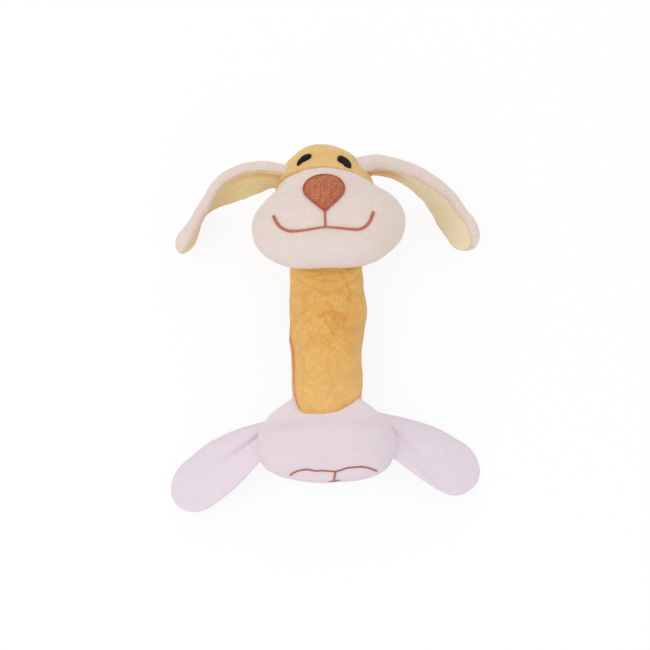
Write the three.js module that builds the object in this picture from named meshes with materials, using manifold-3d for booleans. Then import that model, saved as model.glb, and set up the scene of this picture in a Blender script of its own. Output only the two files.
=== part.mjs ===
// A plush dog toy: a stuffed tube with a dog's head on one end and a foot piece with two flaps on the
// other, and a squeaker inside. It lies on its back: +Y runs from the feet to the head, +Z is the side
// that the face is on, and the toy's own left is +X. Lengths are millimetres, angles are degrees.
import * as THREE from 'three';
import { mergeVertices } from 'three/addons/utils/BufferGeometryUtils.js';
import Module from 'manifold-3d';

const wasm = await Module();
wasm.setup();

// Cloth and fits
const plush = 1.6; // one layer of short-pile plush, pile included
const fit = 0.3; // clearance between two pieces that lie against each other
const fillingFit = 0.6; // clearance round the filling of a rounded form
const pressed = 0.5; // how deep the back is pressed flat where it lies on a table
const overrun = 5; // how far a cutting solid runs past what it cuts

// Tube
const bodyRadius = 20.6; // outside, at the middle
const bodyEndRadius = 20.2; // outside, at the two necks
const bodyHalfLength = 56; // from the middle to the centre of each rounded end
const sleeveMouthRadius = 11; // the sleeve's two openings, hidden in head and foot

// Lobes of the head: where each one's middle is, from the centre of the tube's upper end, and its half
// sizes. Aside is along X, rise along Y, forward along Z.
const crown = { rise: 24.5, wide: 28.5, tall: 28.5, deep: 28.8 };
const cheek = { aside: 12.6, rise: -5.5, forward: 31, wide: 29.5, tall: 22.5, deep: 24.5 };
const bridge = { rise: 8, forward: 28, wide: 27, tall: 22, deep: 26 };
const headBlend = 9; // how softly the lobes run into each other
const headHeart = { rise: 8, forward: 25 }; // an inner point that all of the head's skin can be seen from
const headLean = 2; // the head is turned a little in the plane of the face
const nodBack = 25;
const nodForward = 8;

// Lobes of the foot piece, from the centre of the tube's lower end
const heel = { aside: 12, drop: 9.5, wide: 25, tall: 22.5, deep: 22.5 };
const ankle = { drop: 2, forward: 0.8, wide: 25, tall: 25, deep: 19.5 };
const footBlend = 9;
const tiltBack = 15;
const tiltForward = 15;

// Seam between crown and face
const browSeamRise = 25;
const sideSeamForward = 6;
const seamBend = 14;

// Nose, eyes and mouth, as seen from the front
const threadRise = 1; // how far satin stitching stands above the plush
const faceAside = -1.3; // the nose and mouth are stitched a little off the middle
const nose = { rise: 5, halfWidth: 11.5, height: 21, corner: 4, shoulder: 12 };
const eye = { halfWidth: 4.1, halfHeight: 3.5, slant: 25 };
const eyes = {
  left: { side: 1, aside: 12.6, rise: 32.8 },
  right: { side: -1, aside: 9.8, rise: 35 },
};
const mouth = { rise: -14, halfWidth: 26, sag: 6, curl: 7, thread: 0.9 };

// Ears: two plies that stand on edge beside the head and bend down in an arch. The heading is the
// angle of the middle line above the X axis, the lean is how far the upper edge tips outwards.
const earRootHalfWidth = 11;
const earHalfWidth = 14;
const earRootTilt = 25; // the sewn edge follows the side of the head
const ears = {
  left: {
    side: 1, aside: 23, rise: 37.5, forward: 14.5, length: 84,
    heading: 7, turn: 80, bendShares: [0.1, 0.92], rootLean: -2, tipLean: 24,
  },
  right: {
    side: -1, aside: 26, rise: 33.5, forward: 15, length: 78,
    heading: 8, turn: 60, bendShares: [0.1, 0.62], rootLean: 16, tipLean: -24,
  },
};
const earTiltShare = 0.35; // where the tilt of the sewn edge has faded out, as a share of the length
const earLeanShares = [0.3, 0.85];
const earWideningShare = 0.6;
const earSinkingShare = 0.7; // where the lower edge has come down to the table
const earTipShare = 0.22; // the rounded end

// Leg flaps: padded leaves that are sewn into the foot piece's side seams and lie down to the table.
// Slant is the angle of the sewn edge, sweep how far the leaf bends down from it.
const legRootHalfWidth = 13.5;
const legHalfWidth = 15;
const legPad = 4.6; // half the thickness of the filled part
const legs = {
  left: { side: 1, aside: 34.5, drop: 6, slant: 18, sweep: 36, length: 56 },
  right: { side: -1, aside: 35, drop: 8.5, slant: 16, sweep: 43, length: 60 },
};
const legSwingShare = 0.45; // where the leaf has turned out of the direction of its sewn edge
const legWideningShare = 0.6;
const legTipShare = 0.26;
const legWaddingShares = [0.18, 0.95];
const legWaddingInset = 2.4; // how much narrower the wadding is than the leaf
const legWaddingEdge = 0.1; // half the thickness of the wadding's edge
const legSeamEdge = 0.6; // half the thickness of the leaf's edge

// Toe line, as angles above the foot piece's lowest line
const toe = { aside: 3.5, halfWidth: 24, pitch: 29, bow: 6, strokeEnd: 4, thread: 0.8 };

// Squeaker
const bulbRadius = 12.5;
const bulbHalfHeight = 10;
const bulbWall = 0.9;
const bulbNeckRadius = 4.6;
const bulbNeckLength = 5;
const holderFlange = 1.2;
const airHoleRadius = 1.6;
const reedThickness = 0.4;
const reedWidth = 4.4;

// How far a leaf's thickness has closed at its tip and at its sewn edge, and how rows crowd at its ends
const tipClosedShare = 0.94;
const rootClosedShare = 0.9;
const crowdedShare = 0.5;
const seatShare = 0.4; // how far along a leaf its seat on a curved form is still felt

// Facets round a form and along it
const outerFacets = [34, 20];
const innerFacets = [24, 13];
const roomFacets = [32, 17];
const sleeveFacets = 32;
const smallFacets = 22;
const threadFacets = 4;
const smileFacets = [24, 36]; // points of the smile's line, and rings of its thread
const lipFacets = 4;
const toeFacets = [20, 28];
const strokeFacets = 5;
const noseFacets = [26, 3]; // points on the rim, and rings inside it
const eyeFacets = [16, 2];
const earFacets = [14, 4]; // rows along a ply and columns across it
const legCoverFacets = [13, 8];
const legWaddingFacets = [10, 6];
const middleLineSteps = 60;
const halvings = 26; // steps of the search for a form's surface
const halfwayShares = [0, 0.5, 1];

const axisHeight = bodyRadius - pressed;
const degrees = Math.PI / 180;
const { clamp, lerp, smoothstep } = THREE.MathUtils;

// Solids

function solidOf(geometry) {
  const bare = geometry.clone();
  bare.deleteAttribute('normal');
  bare.deleteAttribute('uv');
  const merged = mergeVertices(bare);
  const mesh = new wasm.Mesh({
    numProp: 3,
    vertProperties: Float32Array.from(merged.attributes.position.array),
    triVerts: Uint32Array.from(merged.index.array),
  });
  return new wasm.Manifold(mesh);
}

function geometryOf(solid) {
  const { vertProperties, triVerts } = solid.getMesh();
  return geometryFrom(Array.from(vertProperties), Array.from(triVerts));
}

function geometryFrom(numbers, triangles) {
  const geometry = new THREE.BufferGeometry();
  geometry.setAttribute('position', new THREE.Float32BufferAttribute(numbers, 3));
  geometry.setIndex(triangles);
  geometry.computeVertexNormals();
  return geometry;
}

// A closed surface round an inner point: one end point, rings of points, the other end point.
// placeAt gives the surface's point for a unit direction. The rings lie round the Y axis.
function roundGeometry(around, rings, placeAt) {
  const numbers = [];
  const triangles = [];
  const direction = (ring, turn) => {
    const polar = (Math.PI * ring) / (rings + 1);
    const spin = (2 * Math.PI * turn) / around;
    return new THREE.Vector3(
      Math.sin(polar) * Math.cos(spin),
      Math.cos(polar),
      -Math.sin(polar) * Math.sin(spin),
    );
  };
  numbers.push(...placeAt(new THREE.Vector3(0, 1, 0)).toArray());
  for (let ring = 1; ring <= rings; ring++) {
    for (let turn = 0; turn < around; turn++) {
      numbers.push(...placeAt(direction(ring, turn)).toArray());
    }
  }
  numbers.push(...placeAt(new THREE.Vector3(0, -1, 0)).toArray());
  const index = (ring, turn) => 1 + (ring - 1) * around + (turn % around);
  const last = 1 + rings * around;
  for (let turn = 0; turn < around; turn++) {
    triangles.push(0, index(1, turn), index(1, turn + 1));
    triangles.push(last, index(rings, turn + 1), index(rings, turn));
    for (let ring = 1; ring < rings; ring++) {
      triangles.push(index(ring, turn), index(ring + 1, turn), index(ring + 1, turn + 1));
      triangles.push(index(ring, turn), index(ring + 1, turn + 1), index(ring, turn + 1));
    }
  }
  return geometryFrom(numbers, triangles);
}

// A slab over a flat patch: the patch's faces on its upper and its lower side, and a wall on its rim.
function slabGeometry(patch, upper, lower) {
  const count = patch.points.length;
  const numbers = [...patch.points.map(upper), ...patch.points.map(lower)].flatMap((p) => p.toArray());
  const triangles = [];
  for (const [a, b, c] of patch.faces) {
    triangles.push(a, b, c);
    triangles.push(count + a, count + c, count + b);
  }
  patch.rim.forEach((from, step) => {
    const to = patch.rim[(step + 1) % patch.rim.length];
    triangles.push(from, count + from, count + to);
    triangles.push(from, count + to, to);
  });
  return geometryFrom(numbers, triangles);
}

// A patch of steps along by steps across, its points as shares from 0 to 1 and from -1 to 1.
function gridPatch(along, across) {
  const points = [];
  const faces = [];
  const index = (row, column) => row * (across + 1) + column;
  for (let row = 0; row <= along; row++) {
    for (let column = 0; column <= across; column++) {
      points.push(new THREE.Vector2(row / along, (2 * column) / across - 1));
    }
  }
  for (let row = 0; row < along; row++) {
    for (let column = 0; column < across; column++) {
      faces.push([index(row, column), index(row + 1, column), index(row + 1, column + 1)]);
      faces.push([index(row, column), index(row + 1, column + 1), index(row, column + 1)]);
    }
  }
  const rim = [];
  for (let row = 0; row < along; row++) rim.push(index(row, 0));
  for (let column = 0; column < across; column++) rim.push(index(along, column));
  for (let row = along; row > 0; row--) rim.push(index(row, across));
  for (let column = across; column > 0; column--) rim.push(index(0, column));
  return { points, faces, rim };
}

// A patch inside an outline, as rings of points drawn in towards its middle.
function discPatch(outline, rings) {
  const middle = outline.reduce((sum, p) => sum.add(p), new THREE.Vector2()).divideScalar(outline.length);
  const points = [middle];
  const faces = [];
  const count = outline.length;
  for (let ring = 1; ring <= rings; ring++) {
    for (const p of outline) points.push(middle.clone().lerp(p, ring / rings));
  }
  const index = (ring, step) => 1 + (ring - 1) * count + (step % count);
  for (let step = 0; step < count; step++) {
    faces.push([0, index(1, step), index(1, step + 1)]);
    for (let ring = 1; ring < rings; ring++) {
      faces.push([index(ring, step), index(ring + 1, step), index(ring + 1, step + 1)]);
      faces.push([index(ring, step), index(ring + 1, step + 1), index(ring, step + 1)]);
    }
  }
  const rim = outline.map((_, step) => index(rings, step));
  return { points, faces, rim };
}

// A box that holds all below a height, to cut off what would lie under it.
function belowHeight(height) {
  const span = (cheek.aside + cheek.wide + heel.wide + overrun) * 2;
  const box = new THREE.BoxGeometry(span, span, span);
  box.translate(0, 0, height - span / 2);
  return solidOf(box);
}

// Soft forms: lobes that run into each other, each an ellipsoid

function lobeOf(aside, rise, forward, size) {
  return {
    centre: new THREE.Vector3(aside, rise, forward),
    radius: new THREE.Vector3(size.wide, size.tall, size.deep),
  };
}

function lobeDistance(lobe, point) {
  const scaled = point.clone().sub(lobe.centre).divide(lobe.radius);
  const steepness = scaled.clone().divide(lobe.radius).length();
  if (steepness === 0) return -lobe.radius.z;
  return (scaled.length() * (scaled.length() - 1)) / steepness;
}

function formDistance(form, point) {
  return form.lobes
    .map((lobe) => lobeDistance(lobe, point))
    .reduce((first, second) => {
      const share = Math.max(form.blend - Math.abs(first - second), 0) / form.blend;
      return Math.min(first, second) - (share * share * form.blend) / 4;
    });
}

// The point on a straight line out of a form that lies deep under its surface, or above it if deep
// is less than zero.
function skinPoint(form, from, towards, deep = 0) {
  let inside = 0;
  let outside = form.reach;
  for (let halving = 0; halving < halvings; halving++) {
    const middle = (inside + outside) / 2;
    const distance = formDistance(form, from.clone().addScaledVector(towards, middle));
    if (distance < -deep) inside = middle;
    else outside = middle;
  }
  return from.clone().addScaledVector(towards, inside);
}

function skinNormal(form, point) {
  const slope = (axis) => {
    const ahead = formDistance(form, point.clone().addScaledVector(axis, fit));
    return ahead - formDistance(form, point.clone().addScaledVector(axis, -fit));
  };
  const axes = [new THREE.Vector3(1, 0, 0), new THREE.Vector3(0, 1, 0), new THREE.Vector3(0, 0, 1)];
  return new THREE.Vector3(...axes.map(slope)).normalize();
}

function formSolid(form, deep, facets) {
  return solidOf(
    roundGeometry(...facets, (direction) => skinPoint(form, form.heart, direction, deep)),
  );
}

// The back of the head and of the foot piece lies on the table, level with the tube's back.
const crownForward = crown.deep - pressed - axisHeight;
const headForm = {
  lobes: [
    lobeOf(0, crown.rise, crownForward, crown),
    lobeOf(0, bridge.rise, bridge.forward, bridge),
    lobeOf(cheek.aside, cheek.rise, cheek.forward, cheek),
    lobeOf(-cheek.aside, cheek.rise, cheek.forward, cheek),
  ],
  heart: new THREE.Vector3(0, headHeart.rise, headHeart.forward),
  blend: headBlend,
  reach: cheek.aside + cheek.wide + crown.tall,
};

const heelForward = heel.deep - pressed - axisHeight;
const footForm = {
  lobes: [
    lobeOf(0, -ankle.drop, ankle.forward, ankle),
    lobeOf(heel.aside, -heel.drop, heelForward, heel),
    lobeOf(-heel.aside, -heel.drop, heelForward, heel),
  ],
  heart: new THREE.Vector3(0, -heel.drop, heelForward),
  blend: footBlend,
  reach: heel.aside + heel.wide + ankle.tall,
};

// The room that the tube needs in the head or the foot piece: a ball round the joint and the tube
// swung through the joint's range. The tube leaves along +Y or, with way -1, along -Y.
function swingRoom(way, low, high) {
  const length = headForm.reach;
  return roundGeometry(...roomFacets, (direction) => {
    const pitch = Math.atan2(direction.z, way * direction.y);
    const swing = clamp(pitch, low * degrees, high * degrees);
    const axis = new THREE.Vector3(0, way * Math.cos(swing), Math.sin(swing));
    const along = Math.max(direction.dot(axis), 0);
    const radius = lerp(bodyEndRadius, bodyRadius, along) + fit;
    const sideways = Math.sqrt(Math.max(1 - along * along, 0));
    const distance = along > 0 ? Math.min(length / along, radius / sideways) : radius;
    return direction.clone().multiplyScalar(distance);
  });
}

// Materials

function cloth(color, roughness = 0.95) {
  return new THREE.MeshStandardMaterial({ color, roughness, metalness: 0 });
}

const orangePlush = cloth(0xe6b56d);
const crownPlush = cloth(0xe2bb7c);
const pinkPlush = cloth(0xe5d5cf);
const lilacPlush = cloth(0xe3d7dd);
const creamPlush = cloth(0xe4d8b0);
const fibre = cloth(0xf2f0ea);
const brownThread = cloth(0xb86f53, 0.6);
const redBrownThread = cloth(0xc87364, 0.6);
const blackThread = cloth(0x24282a, 0.45);
const softPlastic = cloth(0xe9e6dc, 0.4);
const hardPlastic = cloth(0xf0efec, 0.35);

function piece(name, geometry, material) {
  const mesh = new THREE.Mesh(geometry, material);
  mesh.name = name;
  return mesh;
}

// The tube

// One side of the tube's outline, from its middle to an end: nearly straight, then a quarter circle
// that stops at a mouth of the given radius, drawn in by deep all over.
function tubeOutline(way, deep, mouthRadius) {
  const points = [];
  const straightSteps = 3;
  for (let step = 0; step <= straightSteps; step++) {
    const share = step / straightSteps;
    const radius = lerp(bodyRadius, bodyEndRadius, share * share);
    points.push(new THREE.Vector2(radius - deep, way * share * bodyHalfLength));
  }
  const radius = bodyEndRadius - deep;
  const last = Math.acos(mouthRadius / radius);
  const roundSteps = 4;
  for (let step = 1; step <= roundSteps; step++) {
    const turn = (last * step) / roundSteps;
    const along = bodyHalfLength + radius * Math.sin(turn);
    points.push(new THREE.Vector2(Math.max(radius * Math.cos(turn), 0), way * along));
  }
  return points;
}

function sleeveGeometry() {
  const outline = [
    ...tubeOutline(-1, 0, sleeveMouthRadius).reverse(),
    ...tubeOutline(1, 0, sleeveMouthRadius).slice(1),
    ...tubeOutline(1, plush, sleeveMouthRadius).reverse(),
    ...tubeOutline(-1, plush, sleeveMouthRadius).slice(1),
  ];
  const sleeve = new THREE.LatheGeometry([...outline, outline[0]], sleeveFacets);
  return geometryOf(solidOf(sleeve).subtract(belowHeight(-axisHeight)));
}

// The squeaker's pocket in half of the filling, from the axis to its rim at the middle of the tube.
// The upper half also has room for the squeaker's neck.
function pocketOutline(way) {
  const points = [];
  const radius = bulbRadius + fit;
  const height = bulbHalfHeight + fit;
  const neck = way > 0 ? bulbNeckRadius + bulbWall + fit : 0;
  if (way > 0) {
    const end = bulbHalfHeight + bulbNeckLength + fit + holderFlange + fit;
    points.push(new THREE.Vector2(0, end));
    points.push(new THREE.Vector2(neck, end));
  }
  const steps = 5;
  for (let step = 0; step <= steps; step++) {
    const turn = lerp(Math.asin(neck / radius), Math.PI / 2, step / steps);
    const along = Math.max(height * Math.cos(turn), fit / 2);
    points.push(new THREE.Vector2(radius * Math.sin(turn), way * along));
  }
  return points;
}

// Half of the tube's filling. The two halves meet at the middle of the tube.
function stuffingGeometry(way) {
  const outline = tubeOutline(way, plush + fit, 0);
  outline[0].y = (way * fit) / 2;
  const loop = [...pocketOutline(way), ...outline];
  if (way < 0) loop.reverse();
  return new THREE.LatheGeometry(loop, smallFacets);
}

// An ellipse's outline from the rim of the squeaker's neck down to the axis
function bulbOutline(radius, height, neckRadius) {
  const points = [];
  const steps = 6;
  for (let step = 0; step <= steps; step++) {
    const turn = lerp(Math.asin(neckRadius / radius), Math.PI, step / steps);
    points.push(new THREE.Vector2(Math.max(radius * Math.sin(turn), 0), height * Math.cos(turn)));
  }
  return points;
}

function bulbGeometry() {
  const neckOutside = bulbNeckRadius + bulbWall;
  const top = bulbHalfHeight + bulbNeckLength;
  const outline = [
    new THREE.Vector2(bulbNeckRadius, top),
    ...bulbOutline(bulbRadius - bulbWall, bulbHalfHeight - bulbWall, bulbNeckRadius),
    ...bulbOutline(bulbRadius, bulbHalfHeight, neckOutside).reverse(),
    new THREE.Vector2(neckOutside, top),
    new THREE.Vector2(bulbNeckRadius, top),
  ];
  return new THREE.LatheGeometry(outline, smallFacets);
}

// The plug in the squeaker's neck, with the air hole through it
function holderGeometry() {
  const stem = bulbNeckRadius - fit;
  const flange = bulbNeckRadius + bulbWall;
  const seat = bulbHalfHeight + bulbNeckLength + fit;
  const outline = [
    new THREE.Vector2(airHoleRadius, seat - bulbNeckLength),
    new THREE.Vector2(stem, seat - bulbNeckLength),
    new THREE.Vector2(stem, seat),
    new THREE.Vector2(flange, seat),
    new THREE.Vector2(flange, seat + holderFlange),
    new THREE.Vector2(airHoleRadius, seat + holderFlange),
    new THREE.Vector2(airHoleRadius, seat - bulbNeckLength),
  ];
  return new THREE.LatheGeometry(outline, smallFacets);
}

// The reed lies over the inner end of the air hole.
function reedGeometry() {
  const reed = new THREE.BoxGeometry(bulbNeckRadius, reedThickness, reedWidth);
  reed.translate(0, bulbHalfHeight - reedThickness / 2, 0);
  return reed;
}

function bodyGroup() {
  const group = new THREE.Group();
  group.position.z = axisHeight;
  group.add(piece('body_sleeve', sleeveGeometry(), orangePlush));
  group.add(piece('body_stuffing_upper', stuffingGeometry(1), fibre));
  group.add(piece('body_stuffing_lower', stuffingGeometry(-1), fibre));
  group.add(piece('squeaker_bulb', bulbGeometry(), softPlastic));
  group.add(piece('squeaker_holder', holderGeometry(), hardPlastic));
  group.add(piece('squeaker_reed', reedGeometry(), hardPlastic));
  return group;
}

// The head

// All that lies in front of the seam between face and crown: the seam runs along the head's sides and
// bends up over the brow.
function faceSide(beyond) {
  const far = (cheek.aside + cheek.wide) * 2;
  const side = sideSeamForward - beyond;
  const brow = browSeamRise + beyond;
  const bend = seamBend + beyond;
  const shape = new THREE.Shape();
  shape.moveTo(-far, side);
  shape.lineTo(brow - bend, side);
  shape.absarc(brow - bend, side + bend, bend, -Math.PI / 2, 0, false);
  shape.lineTo(brow, far);
  shape.lineTo(-far, far);
  shape.closePath();
  const prism = new THREE.ExtrudeGeometry(shape, { depth: far * 2, bevelEnabled: false, curveSegments: 8 });
  prism.translate(0, 0, -far);
  const turned = new THREE.Matrix4().makeBasis(
    new THREE.Vector3(0, 1, 0),
    new THREE.Vector3(0, 0, 1),
    new THREE.Vector3(1, 0, 0),
  );
  prism.applyMatrix4(turned);
  return solidOf(prism);
}

// A point above the front of the head, over a place in the plane of the face
function frontPoint(x, y, fromForward, above) {
  const start = new THREE.Vector3(x, y, fromForward);
  const skin = skinPoint(headForm, start, new THREE.Vector3(0, 0, 1));
  return skin.clone().addScaledVector(skinNormal(headForm, skin), above);
}

// A stitched patch on the front of the head. Its outline lies in the plane of the face.
function stitchedPatch(outline, rings, fromForward) {
  return slabGeometry(
    discPatch(outline, rings),
    (p) => frontPoint(p.x + faceAside, p.y, fromForward, fit + threadRise),
    (p) => frontPoint(p.x + faceAside, p.y, fromForward, fit),
  );
}

function noseOutline() {
  const { halfWidth: wide, corner, shoulder } = nose;
  const top = nose.rise + nose.height / 2;
  const tip = nose.rise - nose.height / 2;
  const shape = new THREE.Shape();
  shape.moveTo(0, tip);
  shape.bezierCurveTo(corner, tip, wide, top - shoulder, wide, top - corner);
  shape.quadraticCurveTo(wide, top, wide - corner, top);
  shape.lineTo(corner - wide, top);
  shape.quadraticCurveTo(-wide, top, -wide, top - corner);
  shape.bezierCurveTo(-wide, top - shoulder, -corner, tip, 0, tip);
  return shape.getSpacedPoints(noseFacets[0]).slice(0, -1);
}

function eyeOutline(place) {
  const points = [];
  const steps = eyeFacets[0];
  const slant = -place.side * eye.slant * degrees;
  const middle = new THREE.Vector2(place.side * place.aside, place.rise);
  for (let step = 0; step < steps; step++) {
    const turn = (2 * Math.PI * step) / steps;
    const point = new THREE.Vector2(eye.halfWidth * Math.cos(turn), eye.halfHeight * Math.sin(turn));
    points.push(point.rotateAround(new THREE.Vector2(), slant).add(middle));
  }
  return points;
}

function threadGeometry(points, radius, steps) {
  const section = new THREE.Shape();
  section.absarc(0, 0, radius, 0, 2 * Math.PI, false);
  return new THREE.ExtrudeGeometry(section, {
    extrudePath: new THREE.CatmullRomCurve3(points),
    steps,
    curveSegments: threadFacets,
    bevelEnabled: false,
  });
}

// The smile dips on both sides of the middle and curls up at its ends. A short line joins it to the nose.
function mouthGeometry() {
  const above = fit + mouth.thread;
  const smile = [];
  const [steps, rings] = smileFacets;
  for (let step = 0; step <= steps; step++) {
    const share = (2 * step) / steps - 1;
    const y = mouth.rise - mouth.sag * share ** 2 + (mouth.curl + mouth.sag) * share ** 8;
    smile.push(frontPoint(faceAside + mouth.halfWidth * share, y, cheek.forward, above));
  }
  const top = nose.rise - nose.height / 2 - above;
  const lip = halfwayShares.map((share) =>
    frontPoint(faceAside, lerp(mouth.rise, top, share), cheek.forward, above),
  );
  const smileSolid = solidOf(threadGeometry(smile, mouth.thread, rings));
  return geometryOf(smileSolid.add(solidOf(threadGeometry(lip, mouth.thread, lipFacets))));
}

function headGroup() {
  const group = new THREE.Group();
  group.position.set(0, bodyHalfLength, axisHeight);
  group.rotation.z = headLean * degrees;
  const room = solidOf(swingRoom(-1, -nodBack, nodForward).rotateZ(-headLean * degrees));
  const skin = formSolid(headForm, 0, outerFacets)
    .subtract(formSolid(headForm, plush, innerFacets))
    .subtract(room)
    .subtract(belowHeight(-axisHeight));
  const filling = formSolid(headForm, plush + fillingFit, innerFacets).subtract(room);
  group.add(piece('head_crown', geometryOf(skin.subtract(faceSide(fit))), crownPlush));
  group.add(piece('head_face', geometryOf(skin.intersect(faceSide(0))), pinkPlush));
  group.add(piece('head_stuffing', geometryOf(filling), fibre));
  group.add(piece('nose', stitchedPatch(noseOutline(), noseFacets[1], cheek.forward), brownThread));
  for (const [name, place] of Object.entries(eyes)) {
    const patch = stitchedPatch(eyeOutline(place), eyeFacets[1], crownForward);
    group.add(piece(`eye_${name}`, patch, blackThread));
  }
  group.add(piece('mouth_stitching', mouthGeometry(), redBrownThread));
  for (const [name, ear] of Object.entries(ears)) group.add(earGroup(name, ear));
  return group;
}

// Leaves: ears and leg flaps

// How a leaf's half width or half thickness closes round its tip, and how its thickness closes at
// its sewn edge
function tipClosing(share, tipShare) {
  const rounded = Math.max(share - (1 - tipShare), 0) / tipShare;
  return Math.sqrt(1 - rounded ** 2 * tipClosedShare);
}

function rootClosing(distance, radius) {
  const rounded = Math.max(radius - distance, 0) / radius;
  return Math.sqrt(1 - rounded ** 2 * rootClosedShare);
}

// Rows of points along a leaf lie closer together at both ends.
function eased(share) {
  return lerp(share, smoothstep(share, 0, 1), crowdedShare);
}

// How far a point of a leaf's sewn edge has to move along the leaf to lie a fit off the form that the
// leaf is sewn to. The place is where the leaf starts, and the edge's point is measured from there.
function seatShift(form, place, edgePoint, along, back) {
  const start = edgePoint.clone().add(place).addScaledVector(along, -back);
  return skinPoint(form, start, along, -fit).sub(start).length() - back;
}

const plyHalf = plush + fit / 2; // half the thickness of two plies

function earFrame(ear, share) {
  const heading = (ear.heading - ear.turn * smoothstep(share, ...ear.bendShares)) * degrees;
  const lean = lerp(ear.rootLean, ear.tipLean, smoothstep(share, ...earLeanShares)) * degrees;
  const tilt = earRootTilt * (1 - smoothstep(share, 0, earTiltShare)) * degrees;
  const along = new THREE.Vector3(ear.side * Math.cos(heading), Math.sin(heading), 0);
  const level = new THREE.Vector3(-ear.side * Math.sin(heading), Math.cos(heading), 0);
  const across = new THREE.Vector3(0, 0, Math.cos(lean)).addScaledVector(level, Math.sin(lean));
  across.addScaledVector(along, -Math.tan(tilt));
  const outward = level.multiplyScalar(Math.cos(lean)).add(new THREE.Vector3(0, 0, -Math.sin(lean)));
  return { along, across, outward };
}

// Where the ear's middle line runs, from the root: round the arch, and down to the table
function earMiddle(ear, share) {
  const point = new THREE.Vector3();
  const stride = share / middleLineSteps;
  for (let step = 0; step < middleLineSteps; step++) {
    const { along } = earFrame(ear, (step + 1 / 2) * stride);
    point.addScaledVector(along, ear.length * stride);
  }
  const lowest = earHalfWidth + fit - axisHeight - ear.forward;
  point.z = lowest * smoothstep(share, 0, earSinkingShare);
  return point;
}

// A point of the ear: its share of the length, its place across from -1 to 1, and its depth off the
// middle surface
function earPoint(ear, share, across, depth) {
  const frame = earFrame(ear, share);
  const widened = lerp(earRootHalfWidth, earHalfWidth, smoothstep(share, 0, earWideningShare));
  const halfWidth = widened * tipClosing(share, earTipShare);
  const point = earMiddle(ear, share).addScaledVector(frame.across, -ear.side * across * halfWidth);
  return point.addScaledVector(frame.outward, depth * rootClosing(ear.length * share, plyHalf));
}

function earPly(ear, inner, outer) {
  const root = new THREE.Vector3(ear.side * ear.aside, ear.rise, ear.forward);
  const { along } = earFrame(ear, 0);
  const place = (p, depth) => {
    const share = eased(p.x);
    const shift = seatShift(headForm, root, earPoint(ear, 0, p.y, depth), along, earRootHalfWidth);
    const felt = 1 - smoothstep(share, 0, seatShare);
    return earPoint(ear, share, p.y, depth).addScaledVector(along, shift * felt);
  };
  return slabGeometry(
    gridPatch(...earFacets),
    (p) => place(p, outer),
    (p) => place(p, inner),
  );
}

function earGroup(name, ear) {
  const group = new THREE.Group();
  group.position.set(ear.side * ear.aside, ear.rise, ear.forward);
  group.add(piece(`ear_${name}_outer`, earPly(ear, fit / 2, plyHalf), pinkPlush));
  group.add(piece(`ear_${name}_lining`, earPly(ear, -plyHalf, -fit / 2), creamPlush));
  return group;
}

// How a leg flap's own directions lie in the foot piece: turned by the slant of its sewn edge, and
// drooping so far that its tip comes down to the table
function legTurn(leg) {
  const reach = leg.length * Math.cos(leg.sweep * degrees);
  const droop = Math.asin((heelForward + axisHeight - legPad) / reach);
  const angles = new THREE.Euler(0, leg.side * droop, leg.side * leg.slant * degrees, 'ZYX');
  return new THREE.Matrix4().makeRotationFromEuler(angles);
}

// A point of a leg flap: its share of the length, its place across from -1 to 1, and its level. A
// level gives the height over the middle surface for a fullness, the pad's half thickness there.
function legPoint(leg, share, column, narrower, level) {
  const heading = -leg.sweep * degrees;
  const swung = heading * smoothstep(share, 0, legSwingShare);
  const widened = smoothstep(share, 0, legWideningShare);
  const tip = tipClosing(share, legTipShare);
  const edge = Math.sin((column * Math.PI) / 2);
  const halfWidth = lerp(legRootHalfWidth, legHalfWidth, widened) * tip - narrower;
  const pad = lerp(plyHalf, legPad, widened) * tip * rootClosing(leg.length * share, plyHalf);
  const fullness = Math.max(pad * Math.sqrt(1 - edge ** 2), 0);
  const across = leg.side * edge * halfWidth;
  return new THREE.Vector3(
    leg.side * (leg.length * share * Math.cos(heading) - across * Math.sin(swung)),
    leg.length * share * Math.sin(heading) + across * Math.cos(swung),
    level(fullness),
  );
}

// One layer of a leg flap between two levels
function legLayer(leg, layer) {
  const root = new THREE.Vector3(leg.side * leg.aside, -leg.drop, heelForward);
  const turn = legTurn(leg);
  const heading = -leg.sweep * degrees;
  const along = new THREE.Vector3(leg.side * Math.cos(heading), Math.sin(heading), 0);
  along.applyMatrix4(turn);
  const place = (p, level) => {
    const share = lerp(layer.first, layer.last, eased(p.x));
    const edgePoint = legPoint(leg, 0, p.y, 0, level).applyMatrix4(turn);
    const shift = seatShift(footForm, root, edgePoint, along, legRootHalfWidth);
    const felt = 1 - smoothstep(share, 0, seatShare);
    const point = legPoint(leg, share, p.y, layer.narrower, level).applyMatrix4(turn);
    return point.addScaledVector(along, shift * felt);
  };
  return slabGeometry(
    gridPatch(...layer.facets),
    (p) => place(p, layer.upper),
    (p) => place(p, layer.lower),
  );
}

function legGroup(name, leg) {
  const group = new THREE.Group();
  group.position.set(leg.side * leg.aside, -leg.drop, heelForward);
  const cover = { first: 0, last: 1, narrower: 0, facets: legCoverFacets };
  const front = {
    ...cover,
    upper: (fullness) => Math.max(fullness, legSeamEdge),
    lower: (fullness) => Math.max(fullness - plush, fit / 2),
  };
  const back = {
    ...cover,
    upper: (fullness) => -front.lower(fullness),
    lower: (fullness) => -front.upper(fullness),
  };
  const [first, last] = legWaddingShares;
  const wadding = {
    first,
    last,
    narrower: legWaddingInset,
    facets: legWaddingFacets,
    upper: (fullness) => Math.max(fullness - plush - fit, legWaddingEdge),
    lower: (fullness) => -wadding.upper(fullness),
  };
  group.add(piece(`leg_${name}_front`, legLayer(leg, front), lilacPlush));
  group.add(piece(`leg_${name}_back`, legLayer(leg, back), lilacPlush));
  group.add(piece(`leg_${name}_wadding`, legLayer(leg, wadding), fibre));
  return group;
}

// The foot piece

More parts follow.
